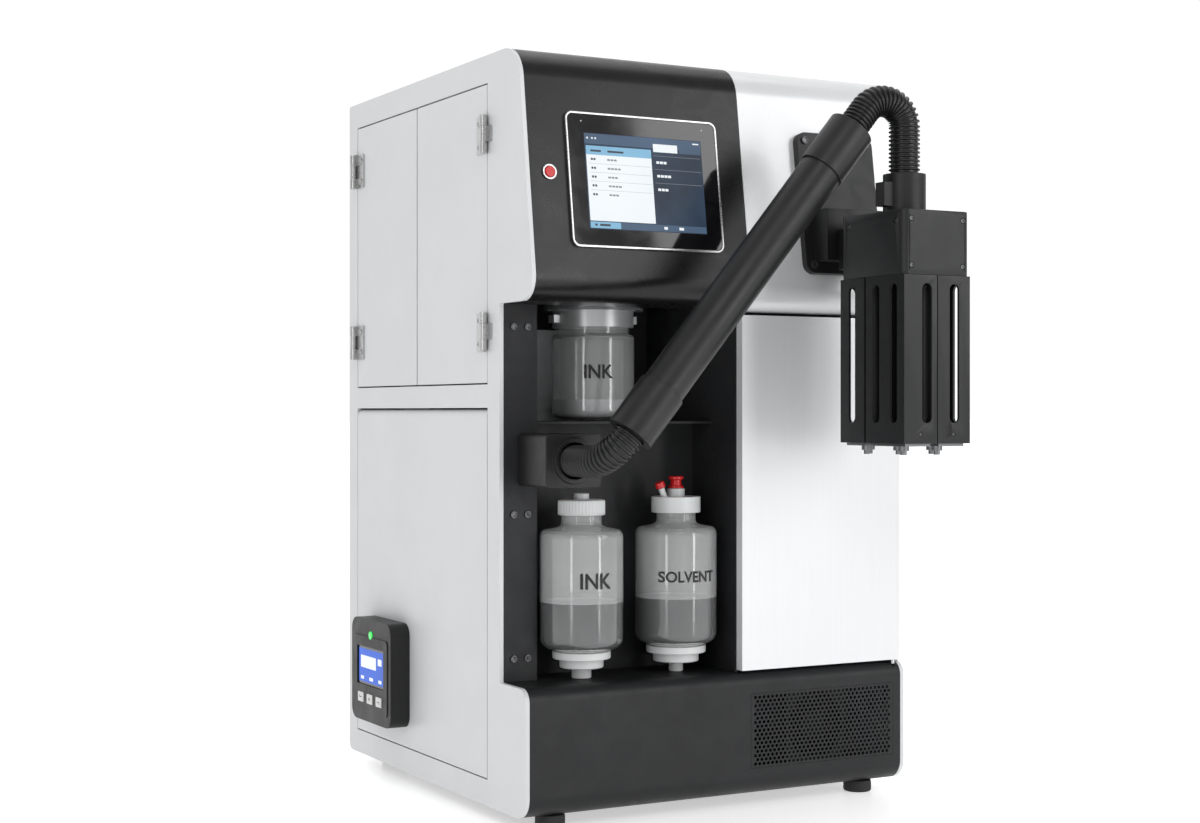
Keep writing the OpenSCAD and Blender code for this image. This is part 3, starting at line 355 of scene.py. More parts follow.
LIQUID = clear_material("grey_liquid", (0.085, 0.087, 0.09), (0.04, 0.08),
                        **{"Transmission Weight": 0.15, "IOR": 1.36})
# Light grey with strong gloss: a painted highlight on the meniscus rings and painted brightness in the
# jar's liquid.
LIQUID_PAINTED_LIGHT = clear_material("liquid_painted_light", (0.62, 0.63, 0.64), (0.05, 0.1),
                            **{"Specular IOR Level": 0.6})
LABEL_INK = film_material("label_print", (0.004, 0.004, 0.0045), 0.3, (0.4, 0.55))
UI_WHITE = lit_material("ui_white", (0.88, 0.93, 0.97), 0.95, 0.05)
UI_SKY = lit_material("ui_sky", (0.27, 0.56, 0.80), 0.8)
UI_NAVY = lit_material("ui_navy", (0.012, 0.026, 0.050), 0.9, 1.3)
UI_BAR = lit_material("ui_bar", (0.060, 0.105, 0.175), 0.9, 0.3)
UI_BLUE = lit_material("ui_blue", (0.03, 0.13, 0.70), 0.85, 0.3)
UI_DARK = lit_material("ui_dark", (0.05, 0.06, 0.08), 0.8)
UI_GREY = lit_material("ui_grey", (0.28, 0.30, 0.33), 0.8)
UI_GREEN = lit_material("ui_green", (0.04, 0.75, 0.12), 1.2)


# Camera, floor and lights
def set_stage():
    camera = bpy.data.objects.new("camera", bpy.data.cameras.new("camera"))
    bpy.context.scene.collection.objects.link(camera)
    camera.location = (-1.1443, -1.9929, 0.450)
    camera.rotation_euler = (math.radians(90), 0, math.radians(-28.6))
    camera.data.lens = 57.72
    camera.data.sensor_width = 36
    bpy.context.scene.camera = camera
    deselect()
    bpy.ops.mesh.primitive_plane_add(size=160)
    floor = bpy.context.object
    floor.name = "floor"
    material, tree, shader, place = shader_material("pale_floor")
    film = use_group(tree, FILM, place, Mottle_Scale=3.0)
    tree.links.new(blend_colors(tree, film.outputs["Mottle"], (0.9, 0.9, 0.9), (0.88, 0.88, 0.88)),
                   shader.inputs["Base Color"])
    set_sockets(shader, {"Roughness": 0.3, "Emission Color": (1, 1, 1, 1),
                         "Emission Strength": 0.5})
    floor.data.materials.append(material)
    # name, place, aim, width, height, power
    lamps = (("key", (-1.3, -2.9, 2.7), (0, 0, 0.5), 1.6, 1.6, 18),
             ("left_strip", (-2.3, -1.6, 0.9), (0, 0, 0.45), 0.3, 2.0, 9),
             ("right_strip", (1.1, -2.9, 0.9), (0, 0, 0.45), 0.35, 2.0, 15),
             ("front_fill", (2.2, -2.7, 1.6), (0.1, -0.2, 0.5), 1.2, 1.8, 22),
             ("top_soft", (0.3, 0.2, 3.0), (0, 0, 0.4), 2.0, 2.0, 14))
    for name, spot, aim, width, height, power in lamps:
        light = bpy.data.lights.new(name, "AREA")
        light.shape = "RECTANGLE"
        light.size = width
        light.size_y = height
        light.energy = power
        lamp = bpy.data.objects.new(name, light)
        bpy.context.scene.collection.objects.link(lamp)
        lamp.location = spot
        lamp.rotation_euler = (Vector(aim) - Vector(spot)).to_track_quat("-Z", "Y").to_euler()
    world = bpy.data.worlds.new("studio")
    world.use_nodes = True
    tree = world.node_tree
    place = tree.nodes.new("ShaderNodeTexCoord")
    split = tree.nodes.new("ShaderNodeSeparateXYZ")
    tree.links.new(place.outputs["Generated"], split.inputs["Vector"])
    glow = tree.nodes.new("ShaderNodeMapRange")
    glow.inputs["From Min"].default_value = 0.1
    glow.inputs["From Max"].default_value = 0.45
    glow.inputs["To Min"].default_value = 0.42
    glow.inputs["To Max"].default_value = 1.05
    tree.links.new(split.outputs["Y"], glow.inputs["Value"])
    tree.links.new(glow.outputs["Result"], tree.nodes["Background"].inputs["Strength"])
    tree.nodes["Background"].inputs["Color"].default_value = (1, 1, 1, 1)
    bpy.context.scene.world = world
    bpy.context.scene.view_settings.view_transform = "Standard"


# Pieces made from the frame's own shapes
MANY_WINDOWS = {"remote_case", "back_panel", "base_tray", "power_supply"}


def merged_copy(node):
    """Copy of a CAD node whose loose triangles are merged into whole faces."""
    mesh = nodes[node].data.copy()
    piece = bpy.data.objects.new(node + "_copy", mesh)
    bpy.context.scene.collection.objects.link(piece)
    take(piece)
    bpy.ops.mesh.customdata_custom_splitnormals_clear()
    edit(piece)
    bpy.ops.mesh.remove_doubles(threshold=0.00001)
    if node not in MANY_WINDOWS:
        bpy.ops.mesh.dissolve_limited(angle_limit=math.radians(0.6))
    bpy.ops.object.mode_set(mode="OBJECT")
    return piece


def soften(piece, width, segments=2, degrees=38):
    if width:
        apply(piece, "BEVEL", width=width * MM, segments=segments, limit_method="ANGLE",
              angle_limit=math.radians(degrees), harden_normals=False, miter_outer="MITER_ARC")
    smooth(piece, 34)
    apply(piece, "WEIGHTED_NORMAL", keep_sharp=True)


def finished_copy(node, name, material, width, segments=2):
    """Stands for a CAD node: the same shape with its sharp edges rounded by width mm."""
    piece = merged_copy(node)
    soften(piece, width, segments)
    return hand_over(piece, name, node, material)


def recess_round_caps(piece, radius, inset, depth):
    """Sinks a small socket into every round end face of about that radius, in mm."""
    edit(piece, "DESELECT")
    bpy.ops.mesh.select_mode(type="FACE")
    bpy.ops.object.mode_set(mode="OBJECT")
    for face in piece.data.polygons:
        size = math.sqrt(face.area / math.pi) / MM
        face.select = len(face.vertices) > 10 and abs(size - radius) < 0.35 * radius
    bpy.ops.object.mode_set(mode="EDIT")
    bpy.ops.mesh.inset(thickness=inset * MM, use_individual=True)
    bpy.ops.mesh.extrude_region_shrink_fatten(
        TRANSFORM_OT_shrink_fatten={"value": -depth * MM})
    bpy.ops.object.mode_set(mode="OBJECT")


# Lathe-turned and other new pieces
def turned(rings, place, steps=72, turn=None):
    """Closed piece of revolution from (radius, height) rings in mm, standing at place.
    A first or last radius of 0 closes that end."""
    deselect()
    start = rings[1] if rings[0][0] == 0 else rings[0]
    bpy.ops.mesh.primitive_circle_add(vertices=steps, radius=start[0] * MM, fill_type="NGON")
    piece = bpy.context.object
    edit(piece)
    bpy.ops.transform.translate(value=(0, 0, start[1] * MM))
    radius, height = start
    for new_radius, new_height in rings[2 if rings[0][0] == 0 else 1:]:
        if new_radius == 0:
            break
        bpy.ops.mesh.extrude_region_move(
            TRANSFORM_OT_translate={"value": (0, 0, (new_height - height) * MM)})
        ratio = new_radius / radius
        bpy.ops.transform.resize(value=(ratio, ratio, 1), center_override=(0, 0, 0))
        radius, height = new_radius, new_height
    bpy.ops.object.mode_set(mode="OBJECT")
    face_out(piece)
    if turn:
        piece.rotation_euler = turn
    piece.location = place
    settle(piece)
    smooth(piece, 40)
    return piece


def arc(centre_r, centre_z, radius, start, end, steps=6):
    """Rings along a round in a turned piece's section; angles in degrees."""
    angles = [math.radians(start + (end - start) * i / steps) for i in range(steps + 1)]
    return [(centre_r + radius * math.cos(a), centre_z + radius * math.sin(a)) for a in angles]


OUTLET_BEND = 0.040
LOOP_BEND = 0.027
HOSE_OVERLAP = 0.010
HOSE_LEAD = 0.028
RIB_PITCH = 0.0047
HOSE_RADIUS = 0.01725


def bend_points(start, heading, new_heading, radius, steps=14):
    """Points round a bend that starts at start along heading, and its end."""
    side = (new_heading - heading * heading.dot(new_heading)).normalized()
    turn = heading.angle(new_heading)
    return [start + radius * ((1 - math.cos(a)) * side + math.sin(a) * heading)
            for a in (turn * i / steps for i in range(steps + 1))]


def corrugated_hose(name, node, path):
    """One rib, repeated along the path and bent to it."""
    curve_data = bpy.data.curves.new(name + "_path", "CURVE")
    curve_data.dimensions = "3D"
    spline = curve_data.splines.new("POLY")
    spline.points.add(len(path) - 1)
    for point, place in zip(spline.points, path):
        point.co = (*place, 1)
    curve = bpy.data.objects.new(name + "_path", curve_data)
    bpy.context.scene.collection.objects.link(curve)
    length = sum((b - a).length for a, b in zip(path, path[1:]))
    count = round(length / RIB_PITCH)
    pitch = length / count
    valley = HOSE_RADIUS - 0.0023
    deselect()
    bpy.ops.mesh.primitive_circle_add(vertices=40, radius=valley, rotation=(0, math.radians(90), 0))
    rib = bpy.context.object
    settle(rib)
    edit(rib)
    for step, radius in ((0.2, valley), (0.12, HOSE_RADIUS - 0.0004), (0.1, HOSE_RADIUS),
                         (0.16, HOSE_RADIUS), (0.1, HOSE_RADIUS - 0.0004), (0.12, valley),
                         (0.2, valley)):
        bpy.ops.mesh.extrude_region_move(TRANSFORM_OT_translate={"value": (step * pitch, 0, 0)})
        ratio = radius / valley if step == 0.12 and radius != valley else 1
        if radius == HOSE_RADIUS and step == 0.1:
            ratio = HOSE_RADIUS / (HOSE_RADIUS - 0.0004)
        if step == 0.1 and radius != HOSE_RADIUS:
            ratio = (HOSE_RADIUS - 0.0004) / HOSE_RADIUS
        if step == 0.12 and radius == valley:
            ratio = valley / (HOSE_RADIUS - 0.0004)
        bpy.ops.transform.resize(value=(1, ratio, ratio), center_override=(0, 0, 0))
    bpy.ops.object.mode_set(mode="OBJECT")
    apply(rib, "ARRAY", count=count, use_relative_offset=False, use_constant_offset=True,
          constant_offset_displace=(pitch, 0, 0), use_merge_vertices=True, merge_threshold=0.0002)
    apply(rib, "CURVE", object=curve, deform_axis="POS_X")
    edit(rib, "DESELECT")
    bpy.ops.mesh.select_non_manifold()
    bpy.ops.mesh.edge_face_add()
    bpy.ops.object.mode_set(mode="OBJECT")
    bpy.data.objects.remove(curve)
    face_out(rib)
    smooth(rib, 50)
    return hand_over(rib, name, node, HOSE)


def umbilical():
    """Both hoses, along the route that the frame's hoses take."""
    forward = Vector((0, -1, 0))
    down = Vector((0, 0, -1))
    outlet = middle("outlet_box")
    box_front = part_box("outlet_box")[0].y + 0.004
    head = middle("head_housing")
    head_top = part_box("head_housing")[1].z
    loop_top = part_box("upper_hose")[1].z - HOSE_RADIUS
    bend_start = Vector((outlet.x, box_front - OUTLET_BEND - 0.002, outlet.z))
    elevation, azimuth = math.radians(50), 0.0
    for _ in range(12):
        along = Vector((math.cos(elevation) * math.cos(azimuth),
                        math.cos(elevation) * math.sin(azimuth), math.sin(elevation)))
        tube_start = bend_points(bend_start, forward, along, OUTLET_BEND)[-1]
        reach = Vector((head.x - tube_start.x, head.y - tube_start.y))
        run = reach.length - LOOP_BEND * (1 + math.sin(elevation))
        rise = loop_top - LOOP_BEND * (1 - math.cos(elevation)) - tube_start.z
        elevation, azimuth = math.atan2(rise, run), math.atan2(reach.y, reach.x)
    tube_end = tube_start + along * (rise / along.z)
    first = Vector((outlet.x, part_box("lower_hose")[1].y, outlet.z))
    lower = ([first, (first + bend_start) / 2]
             + bend_points(bend_start, forward, along, OUTLET_BEND)
             + [tube_start + HOSE_OVERLAP * along])
    corrugated_hose("lower_corrugated_hose", "lower_hose", lower)
    hose_start = tube_end - (HOSE_LEAD + HOSE_OVERLAP) * along
    loop = bend_points(tube_end, along, down, LOOP_BEND, 22)
    last = Vector((loop[-1].x, loop[-1].y, head_top))
    upper = [hose_start, (hose_start + tube_end) / 2] + loop + [(loop[-1] + last) / 2, last]
    corrugated_hose("upper_corrugated_hose", "upper_hose", upper)


def perforated_grille():
    """Front plate with staggered round holes, set in from the grille's edges by the rim's width."""
    low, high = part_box("vent_grille")
    rim = 0.005
    plate_low = Vector((low.x + rim, low.y, low.z + rim))
    plate_high = Vector((high.x - rim, high.y, high.z - rim))
    size = plate_high - plate_low
    deselect()
    bpy.ops.mesh.primitive_cube_add(size=1, location=(plate_low + plate_high) / 2,
                                    scale=(size.x, 0.0016, size.z))
    plate = bpy.context.object
    plate.location.y = low.y + 0.0008
    settle(plate)
    columns, rows = 33, 17
    pitch = size.x * 0.955 / columns
    rise = size.z * 0.955 / rows
    bpy.ops.mesh.primitive_cylinder_add(
        vertices=10, radius=pitch * 0.34, depth=0.01, rotation=(math.radians(90), 0, 0),
        location=(plate_low.x + size.x * 0.0225 + pitch * 0.25, low.y,
                  plate_low.z + size.z * 0.0225 + rise * 0.5))
    drills = bpy.context.object
    settle(drills)
    apply(drills, "ARRAY", count=2, use_relative_offset=False, use_constant_offset=True,
          constant_offset_displace=(pitch / 2, 0, rise))
    apply(drills, "ARRAY", count=columns, use_relative_offset=False, use_constant_offset=True,
          constant_offset_displace=(pitch, 0, 0))
    apply(drills, "ARRAY", count=(rows + 1) // 2, use_relative_offset=False,
          use_constant_offset=True, constant_offset_displace=(0, 0, 2 * rise))
    edit(drills, "DESELECT")
    bpy.ops.object.mode_set(mode="OBJECT")
    top = plate_low.z + size.z * 0.0225 + rows * rise + rise * 0.3
    for vertex in drills.data.vertices:
        vertex.select = vertex.co.z > top
    bpy.ops.object.mode_set(mode="EDIT")
    bpy.ops.mesh.select_linked()
    bpy.ops.mesh.delete(type="VERT")
    bpy.ops.object.mode_set(mode="OBJECT")
    apply(plate, "BOOLEAN", operation="DIFFERENCE", object=drills, solver="EXACT")
    bpy.data.objects.remove(drills)
    smooth(plate, 30)
    hand_over(plate, "perforated_grille", "vent_grille", CHARCOAL)


def bottle_set(name, x_node, base_node, cap_node, label, letter, stretch):
    """Bottle glass with its liquid and the ring on the liquid's surface; returns the bottle's centre
    and radius, and the cap's lower height and half width.
    """
    low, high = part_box(x_node)
    centre = (low + high) / 2
    foot_low, foot_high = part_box(base_node)
    cap_low, cap_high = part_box(cap_node)
    r = (high.x - low.x) / 2 / MM
    z0 = low.z / MM
    z1 = high.z / MM
    shoulder = z1 - 38
    neck = 22.5
    wall = 1.6
    place = (centre.x, centre.y, 0)
    outer = ([(0, z0), (r - 13, z0)] + arc(r - 12, z0 + 12, 12, -90, 0)
             + [(r, 239.6), (r, shoulder - 1)] + arc(r - 9, shoulder, 9, 0, 62)
             + [(neck + 5, shoulder + 10.5), (neck + 1.2, shoulder + 12.5), (neck, shoulder + 15),
                (neck, z1)])
    inner = ([(neck - wall, z1), (neck - wall, shoulder + 14.2), (neck + 4, shoulder + 8.8)]
             + arc(r - 9, shoulder - 1, 9 - wall, 62, 0) + [(r - wall, 239.6)]
             + arc(r - 12, z0 + 12, 12 - wall, 0, -90) + [(r - 13, z0 + wall), (0, z0 + wall)])
    body = turned(outer + inner, place)
    hand_over(body, name + "_glass_body", x_node, GLASS)
    # Faces above the liquid level take the glass with painted light, so the upper glass is painted
    # brighter than the glass over the liquid.
    body.data.materials.append(GLASS_PAINTED_LIGHT)
    for face in body.data.polygons:
        face.material_index = int(face.center.z > 0.2396)
    gap = wall + 0.15
    level = 239.6
    liquid = turned([(0, z0 + gap), (r - 13, z0 + gap)]
                    + arc(r - 12, z0 + 12, 12 - gap, -90, 0)
                    + [(r - gap, level - 1), (r - gap - 0.4, level), (0, level)], place)
    hand_over(liquid, name + "_liquid", x_node, LIQUID, replace=False)
    surface(name, place, r - gap - 0.5, level, x_node)
    top = cap_low.z / MM
    big = (cap_high.x - cap_low.x) / 2 / MM
    return centre, r, top, big


def surface(name, place, radius, level, node):
    """Meniscus ring that lies on a liquid, light grey as a painted highlight."""
    piece = turned([(0, level + 0.02), (radius - 2, level + 0.02), (radius, level + 0.5),
                    (radius, level + 0.7), (radius - 2, level + 0.2), (0, level + 0.2)], place)
    hand_over(piece, name + "_liquid_painted_light", node, LIQUID_PAINTED_LIGHT, replace=False)


def label_on(name, word, centre, radius, height_mm, width_mm, z_mm, node, turn):
    """Word printed on the front of a round wall."""
    bpy.ops.object.text_add(rotation=(math.radians(90), 0, 0))
    text = bpy.context.object
    text.data.body = word
    text.data.align_x = "CENTER"
    text.data.align_y = "CENTER"
    text.data.resolution_u = 3
    text.data.offset = 0.022
    take(text)
    bpy.ops.object.convert(target="MESH")
    piece = bpy.context.object
    bpy.ops.object.transform_apply(location=True, rotation=True, scale=True)
    size = piece.dimensions
    piece.scale = (width_mm * MM / size.x, 1, height_mm * MM / size.z)
    settle(piece)
    low = [min(c[i] for c in piece.bound_box) for i in range(3)]
    high = [max(c[i] for c in piece.bound_box) for i in range(3)]
    piece.location = (centre.x - (low[0] + high[0]) / 2, centre.y - radius * MM - 0.02,
                      z_mm * MM - (low[2] + high[2]) / 2)
    settle(piece)
    edit(piece)
    bpy.ops.mesh.select_mode(type="FACE")
    bpy.ops.mesh.quads_convert_to_tris()
    for _ in range(2):
        bpy.ops.mesh.subdivide(number_cuts=1)
    bpy.ops.object.mode_set(mode="OBJECT")
    shape = turned([(radius, z_mm - 40), (radius, z_mm + 40)], (centre.x, centre.y, 0), 144)
    apply(piece, "SHRINKWRAP", target=shape, wrap_method="PROJECT", use_project_y=True,
          use_project_z=False, use_positive_direction=True, use_negative_direction=False,
          offset=0.00022)
    bpy.data.objects.remove(shape)
    apply(piece, "SOLIDIFY", thickness=0.00015, offset=0)
    face_out(piece)
    axis = Matrix.Translation((centre.x, centre.y, 0))
    piece.data.transform(axis @ Matrix.Rotation(math.radians(-turn), 4, "Z") @ axis.inverted())
    return hand_over(piece, name, node, LABEL_INK, replace=False)


def ribbed_cap(name, node, place, rings, ribs, material, depth=0.5, fraction=0.5, z_band=None):
    """Turned cap whose side carries upright ribs inside the height band z_band, in mm."""
    piece = turned(rings, place, ribs * 4)
    edit(piece, "DESELECT")
    bpy.ops.object.mode_set(mode="OBJECT")
    low, high = z_band
    for vertex in piece.data.vertices:
        if low <= vertex.co.z / MM <= high:
            angle = math.atan2(vertex.co.y - place[1], vertex.co.x - place[0])
            step = round(angle / (2 * math.pi) * ribs * 4) % 4
            if step in (2, 3):
                reach = math.hypot(vertex.co.y - place[1], vertex.co.x - place[0])
                factor = (reach - depth * MM) / reach
                vertex.co.x = place[0] + (vertex.co.x - place[0]) * factor
                vertex.co.y = place[1] + (vertex.co.y - place[1]) * factor
    smooth(piece, 24)
    return hand_over(piece, name, node, material)


def tiles(name, spots, matrix, material, node, corner=0.0006):
    """Thin rounded plates (x0, z0, x1, z1, near, far) in mm on one plane, joined to one piece."""
    made = []
    for x0, z0, x1, z1, near, far in spots:
        deselect()
        bpy.ops.mesh.primitive_cube_add(
            size=1, location=((x0 + x1) / 2 * MM, -(near + far) / 2 * MM, (z0 + z1) / 2 * MM),
            scale=((x1 - x0) * MM, (far - near) * MM, (z1 - z0) * MM))
        tile = bpy.context.object
        settle(tile)
        edit(tile, "DESELECT")
        bpy.ops.mesh.select_mode(type="EDGE")
        bpy.ops.object.mode_set(mode="OBJECT")
        for side in tile.data.edges:
            a, b = (tile.data.vertices[v].co for v in side.vertices)
            side.select = abs(a.y - b.y) > (far - near) * MM * 0.9
        bpy.ops.object.mode_set(mode="EDIT")
        bpy.ops.mesh.bevel(offset=min(corner, (x1 - x0) * MM * 0.3, (z1 - z0) * MM * 0.3), segments=3)
        bpy.ops.object.mode_set(mode="OBJECT")
        made.append(tile)
    piece = join(made)
    piece.data.transform(matrix)
    return hand_over(piece, name, node, material, replace=False)


def screen_picture():
    """Generic page of the touch screen: bars, rows and a few buttons."""
    out = Vector((0, -math.cos(LEAN), math.sin(LEAN)))
    face = middle("screen_glass") + 1.45 * MM * out
    up = Vector((0, math.sin(LEAN), math.cos(LEAN)))
    place = (Matrix.Translation(face - 1.5 * MM * up)
             @ Matrix.Rotation(-LEAN, 4, "X"))
    w, h = 74.0, 53.0
    tiles("screen_page", [(-w, -h, w, h, 0, 0.05)], place, UI_NAVY, "screen_glass")
    tiles("screen_top_bar", [(-w + 0.5, h - 12, w - 0.5, h - 0.6, 0.05, 0.08)], place, UI_BAR,
          "screen_glass")
    split = -w + 2 * w * 0.56
    tiles("screen_list", [(-w + 1.5, -h + 9, split, h - 14, 0.05, 0.08)], place, UI_WHITE,
          "screen_glass")
    step = 9.75
    top = h - 14 - 10
    marks = []
    greys = []
    lines = []
    for i in range(5):
        z = top - step * (i + 0.5)
        for k in range(2):
            marks.append((-w + 7 + 3.2 * k, z - 1.2, -w + 9.4 + 3.2 * k, z + 1.2, 0.08, 0.1))
        for k in range(3 + i % 2):
            greys.append((-w + 27 + 4.2 * k, z - 1.0, -w + 30.4 + 4.2 * k, z + 1.0, 0.08, 0.1))
        lines.append((-w + 5, z - step / 2 - 0.12, split - 1.5, z - step / 2 + 0.12, 0.08, 0.09))
    tiles("screen_list_marks", marks, place, UI_DARK, "screen_glass", 0.0003)
    tiles("screen_list_words", greys, place, UI_GREY, "screen_glass", 0.0003)
    tiles("screen_list_lines", lines[:-1], place, UI_GREY, "screen_glass", 0.0001)
    tiles("screen_sky_blocks",
          [(-w + 1.5, top, split, h - 14, 0.08, 0.1), (-w + 1.5, -h + 1, -w + 39, -h + 8, 0.05, 0.08)],
          place, UI_SKY, "screen_glass")
    tiles("screen_sky_words",
          [(-w + 7, top + 3.4, -w + 20, top + 5.6, 0.1, 0.12),
           (-w + 28, top + 3.4, -w + 48, top + 5.6, 0.1, 0.12),
           (-w + 7, -h + 3.4, -w + 10, -h + 5.8, 0.08, 0.1),
           (-w + 13, -h + 3.4, -w + 26, -h + 5.8, 0.08, 0.1)],
          place, UI_DARK, "screen_glass", 0.0003)
    left = split + 3
    right = w - 2
    tiles("screen_foot_bar", [(-w + 39.5, -h + 0.8, w - 0.5, -h + 8, 0.05, 0.07),
                              (left + 33, h - 16, right + 1, h - 7.5, 0.09, 0.1)],
          place, UI_BAR, "screen_glass")
    side = [(left, h - 16, left + 31, h - 7, 0.09, 0.12)]
    lines = []
    for i in range(3):
        z = h - 27.8 - 15.3 * i
        for k in range(3 + i % 2):
            side.append((left + 3 + 4.6 * k, z - 1.4, left + 6.8 + 4.6 * k, z + 1.4, 0.06, 0.09))
        lines.append((left, z + 7.2, right, z + 7.6, 0.06, 0.08))
    side.append((-w + 2 * w * 0.63, -h + 3.0, -w + 2 * w * 0.66, -h + 6, 0.07, 0.09))
    side.append((-w + 2 * w * 0.76, -h + 3.0, -w + 2 * w * 0.80, -h + 6, 0.07, 0.09))
    for k in (0, 6, 10):
        side.append((-w + 3 + k, h - 6.6, -w + 5 + k, h - 4.6, 0.08, 0.1))
    side.append((w - 11, h - 4.6, w - 3, h - 3.2, 0.08, 0.1))
    tiles("screen_side_rows", side, place, UI_WHITE, "screen_glass", 0.0003)
    tiles("screen_side_lines", lines, place, UI_GREY, "screen_glass", 0.0001)
    tiles("screen_lamps", [(-w - 3, h + 12, -w - 1.6, h + 13.4, 0, 0.06),
                           (w + 1.6, h + 12, w + 3, h + 13.4, 0, 0.06)],
          place, KEY_WHITE, "screen_glass")


def remote_picture():
    """Blue page of the remote panel's screen, and small marks under it."""
    low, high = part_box("remote_screen")
    centre = Vector((low.x, (low.y + high.y) / 2, (low.z + high.z) / 2))
    place = Matrix.Translation(centre) @ Matrix.Rotation(math.radians(-90), 4, "Z")
    half_w = (high.y - low.y) / 2 / MM - 3
    half_h = (high.z - low.z) / 2 / MM - 3
    tiles("remote_page", [(-half_w, -half_h, half_w, half_h, 0, 0.06)], place, UI_BLUE,
          "remote_screen")
    tiles("remote_marks",
          [(-half_w + 6, -3, half_w - 24, 12, 0.06, 0.1), (half_w - 18, 4, half_w - 6, 12, 0.06, 0.1),
           (-half_w + 6, -half_h + 3, -half_w + 16, -half_h + 7, 0.06, 0.1),
           (-6, -half_h + 3, 6, -half_h + 7, 0.06, 0.1),
           (half_w - 16, -half_h + 3, half_w - 6, -half_h + 7, 0.06, 0.1)],
          place, UI_WHITE, "remote_screen")
    for key in ("left", "middle", "right"):
        node = "remote_key_" + key
        low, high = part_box(node)
        spot = Vector((low.x + 0.00012, (low.y + high.y) / 2, (low.z + high.z) / 2))
        mark = {"left": [(-4, -0.5, 4, 0.5, 0, 0.08), (-4, -0.5, -3, 2.6, 0, 0.08)],
                "middle": [(-3.4, -0.5, 3.4, 0.5, 0, 0.08), (-0.5, -3, 0.5, 3, 0, 0.08)],
                "right": [(-4, -0.5, 4, 0.5, 0, 0.08), (3, -2.6, 4, 0.5, 0, 0.08)]}[key]
        tiles("key_mark_" + key, mark, Matrix.Translation(spot) @ Matrix.Rotation(
            math.radians(-90), 4, "Z"), LABEL_INK, node, 0.0002)
    low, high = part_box("remote_power_button")
    spot = Vector((low.x, (low.y + high.y) / 2, (low.z + high.z) / 2))
    turn = Matrix.Translation(spot) @ Matrix.Rotation(math.radians(-90), 4, "Z")
    deselect()
    bpy.ops.mesh.primitive_torus_add(major_radius=0.0026, minor_radius=0.00032, major_segments=40,
                                     minor_segments=8, rotation=(math.radians(90), 0, 0))
    ring = bpy.context.object
    settle(ring)
    edit(ring, "DESELECT")
    bpy.ops.object.mode_set(mode="OBJECT")
    for vertex in ring.data.vertices:
        vertex.select = vertex.co.z > 0.0019 and abs(vertex.co.x) < 0.0013
    bpy.ops.object.mode_set(mode="EDIT")
    bpy.ops.mesh.delete(type="VERT")
    bpy.ops.mesh.select_all(action="SELECT")
    bpy.ops.mesh.select_all(action="DESELECT")
    bpy.ops.mesh.select_non_manifold()
    bpy.ops.mesh.edge_face_add()
    bpy.ops.object.mode_set(mode="OBJECT")
    bpy.ops.mesh.primitive_cube_add(size=1, location=(0, 0, 0.0018), scale=(0.0006, 0.0006, 0.0028))
    bar = bpy.context.object
    settle(bar)
    apply(bar, "BEVEL", width=0.0001, segments=2)
    icon = join([ring, bar])
    icon.data.transform(turn)
    face_out(icon)
    hand_over(icon, "power_icon", "remote_power_button", KEY_WHITE, replace=False)


def screw_heads(name, node, spots, radius, rise, material=None):
    """Socket screws: domed heads with a round socket, at (point, outward direction)."""
    made = []
    for point, out in spots:
        rings = [(radius, -0.3), (radius, rise * 0.55), (radius * 0.86, rise), (radius * 0.55, rise)]
        head = turned(rings, (0, 0, 0), 24)
        edit(head, "DESELECT")
        bpy.ops.mesh.select_mode(type="EDGE")
        bpy.ops.object.mode_set(mode="OBJECT")
        for side in head.data.edges:
            a, b = (head.data.vertices[v].co for v in side.vertices)
            side.select = min(a.z, b.z) > rise * 0.99 * MM and max(
                math.hypot(a.x, a.y), math.hypot(b.x, b.y)) < radius * 0.6 * MM
        bpy.ops.object.mode_set(mode="EDIT")
        bpy.ops.mesh.extrude_region_move(TRANSFORM_OT_translate={"value": (0, 0, -rise * 0.7 * MM)})
        bpy.ops.mesh.edge_face_add()
        bpy.ops.object.mode_set(mode="OBJECT")
        face_out(head)
        head.data.transform(Matrix.Translation(point)
                            @ Vector(out).to_track_quat("Z", "Y").to_matrix().to_4x4())
        made.append(head)
    piece = join(made)
    smooth(piece, 30)
    return hand_over(piece, name, node, material or STEEL, replace=False)


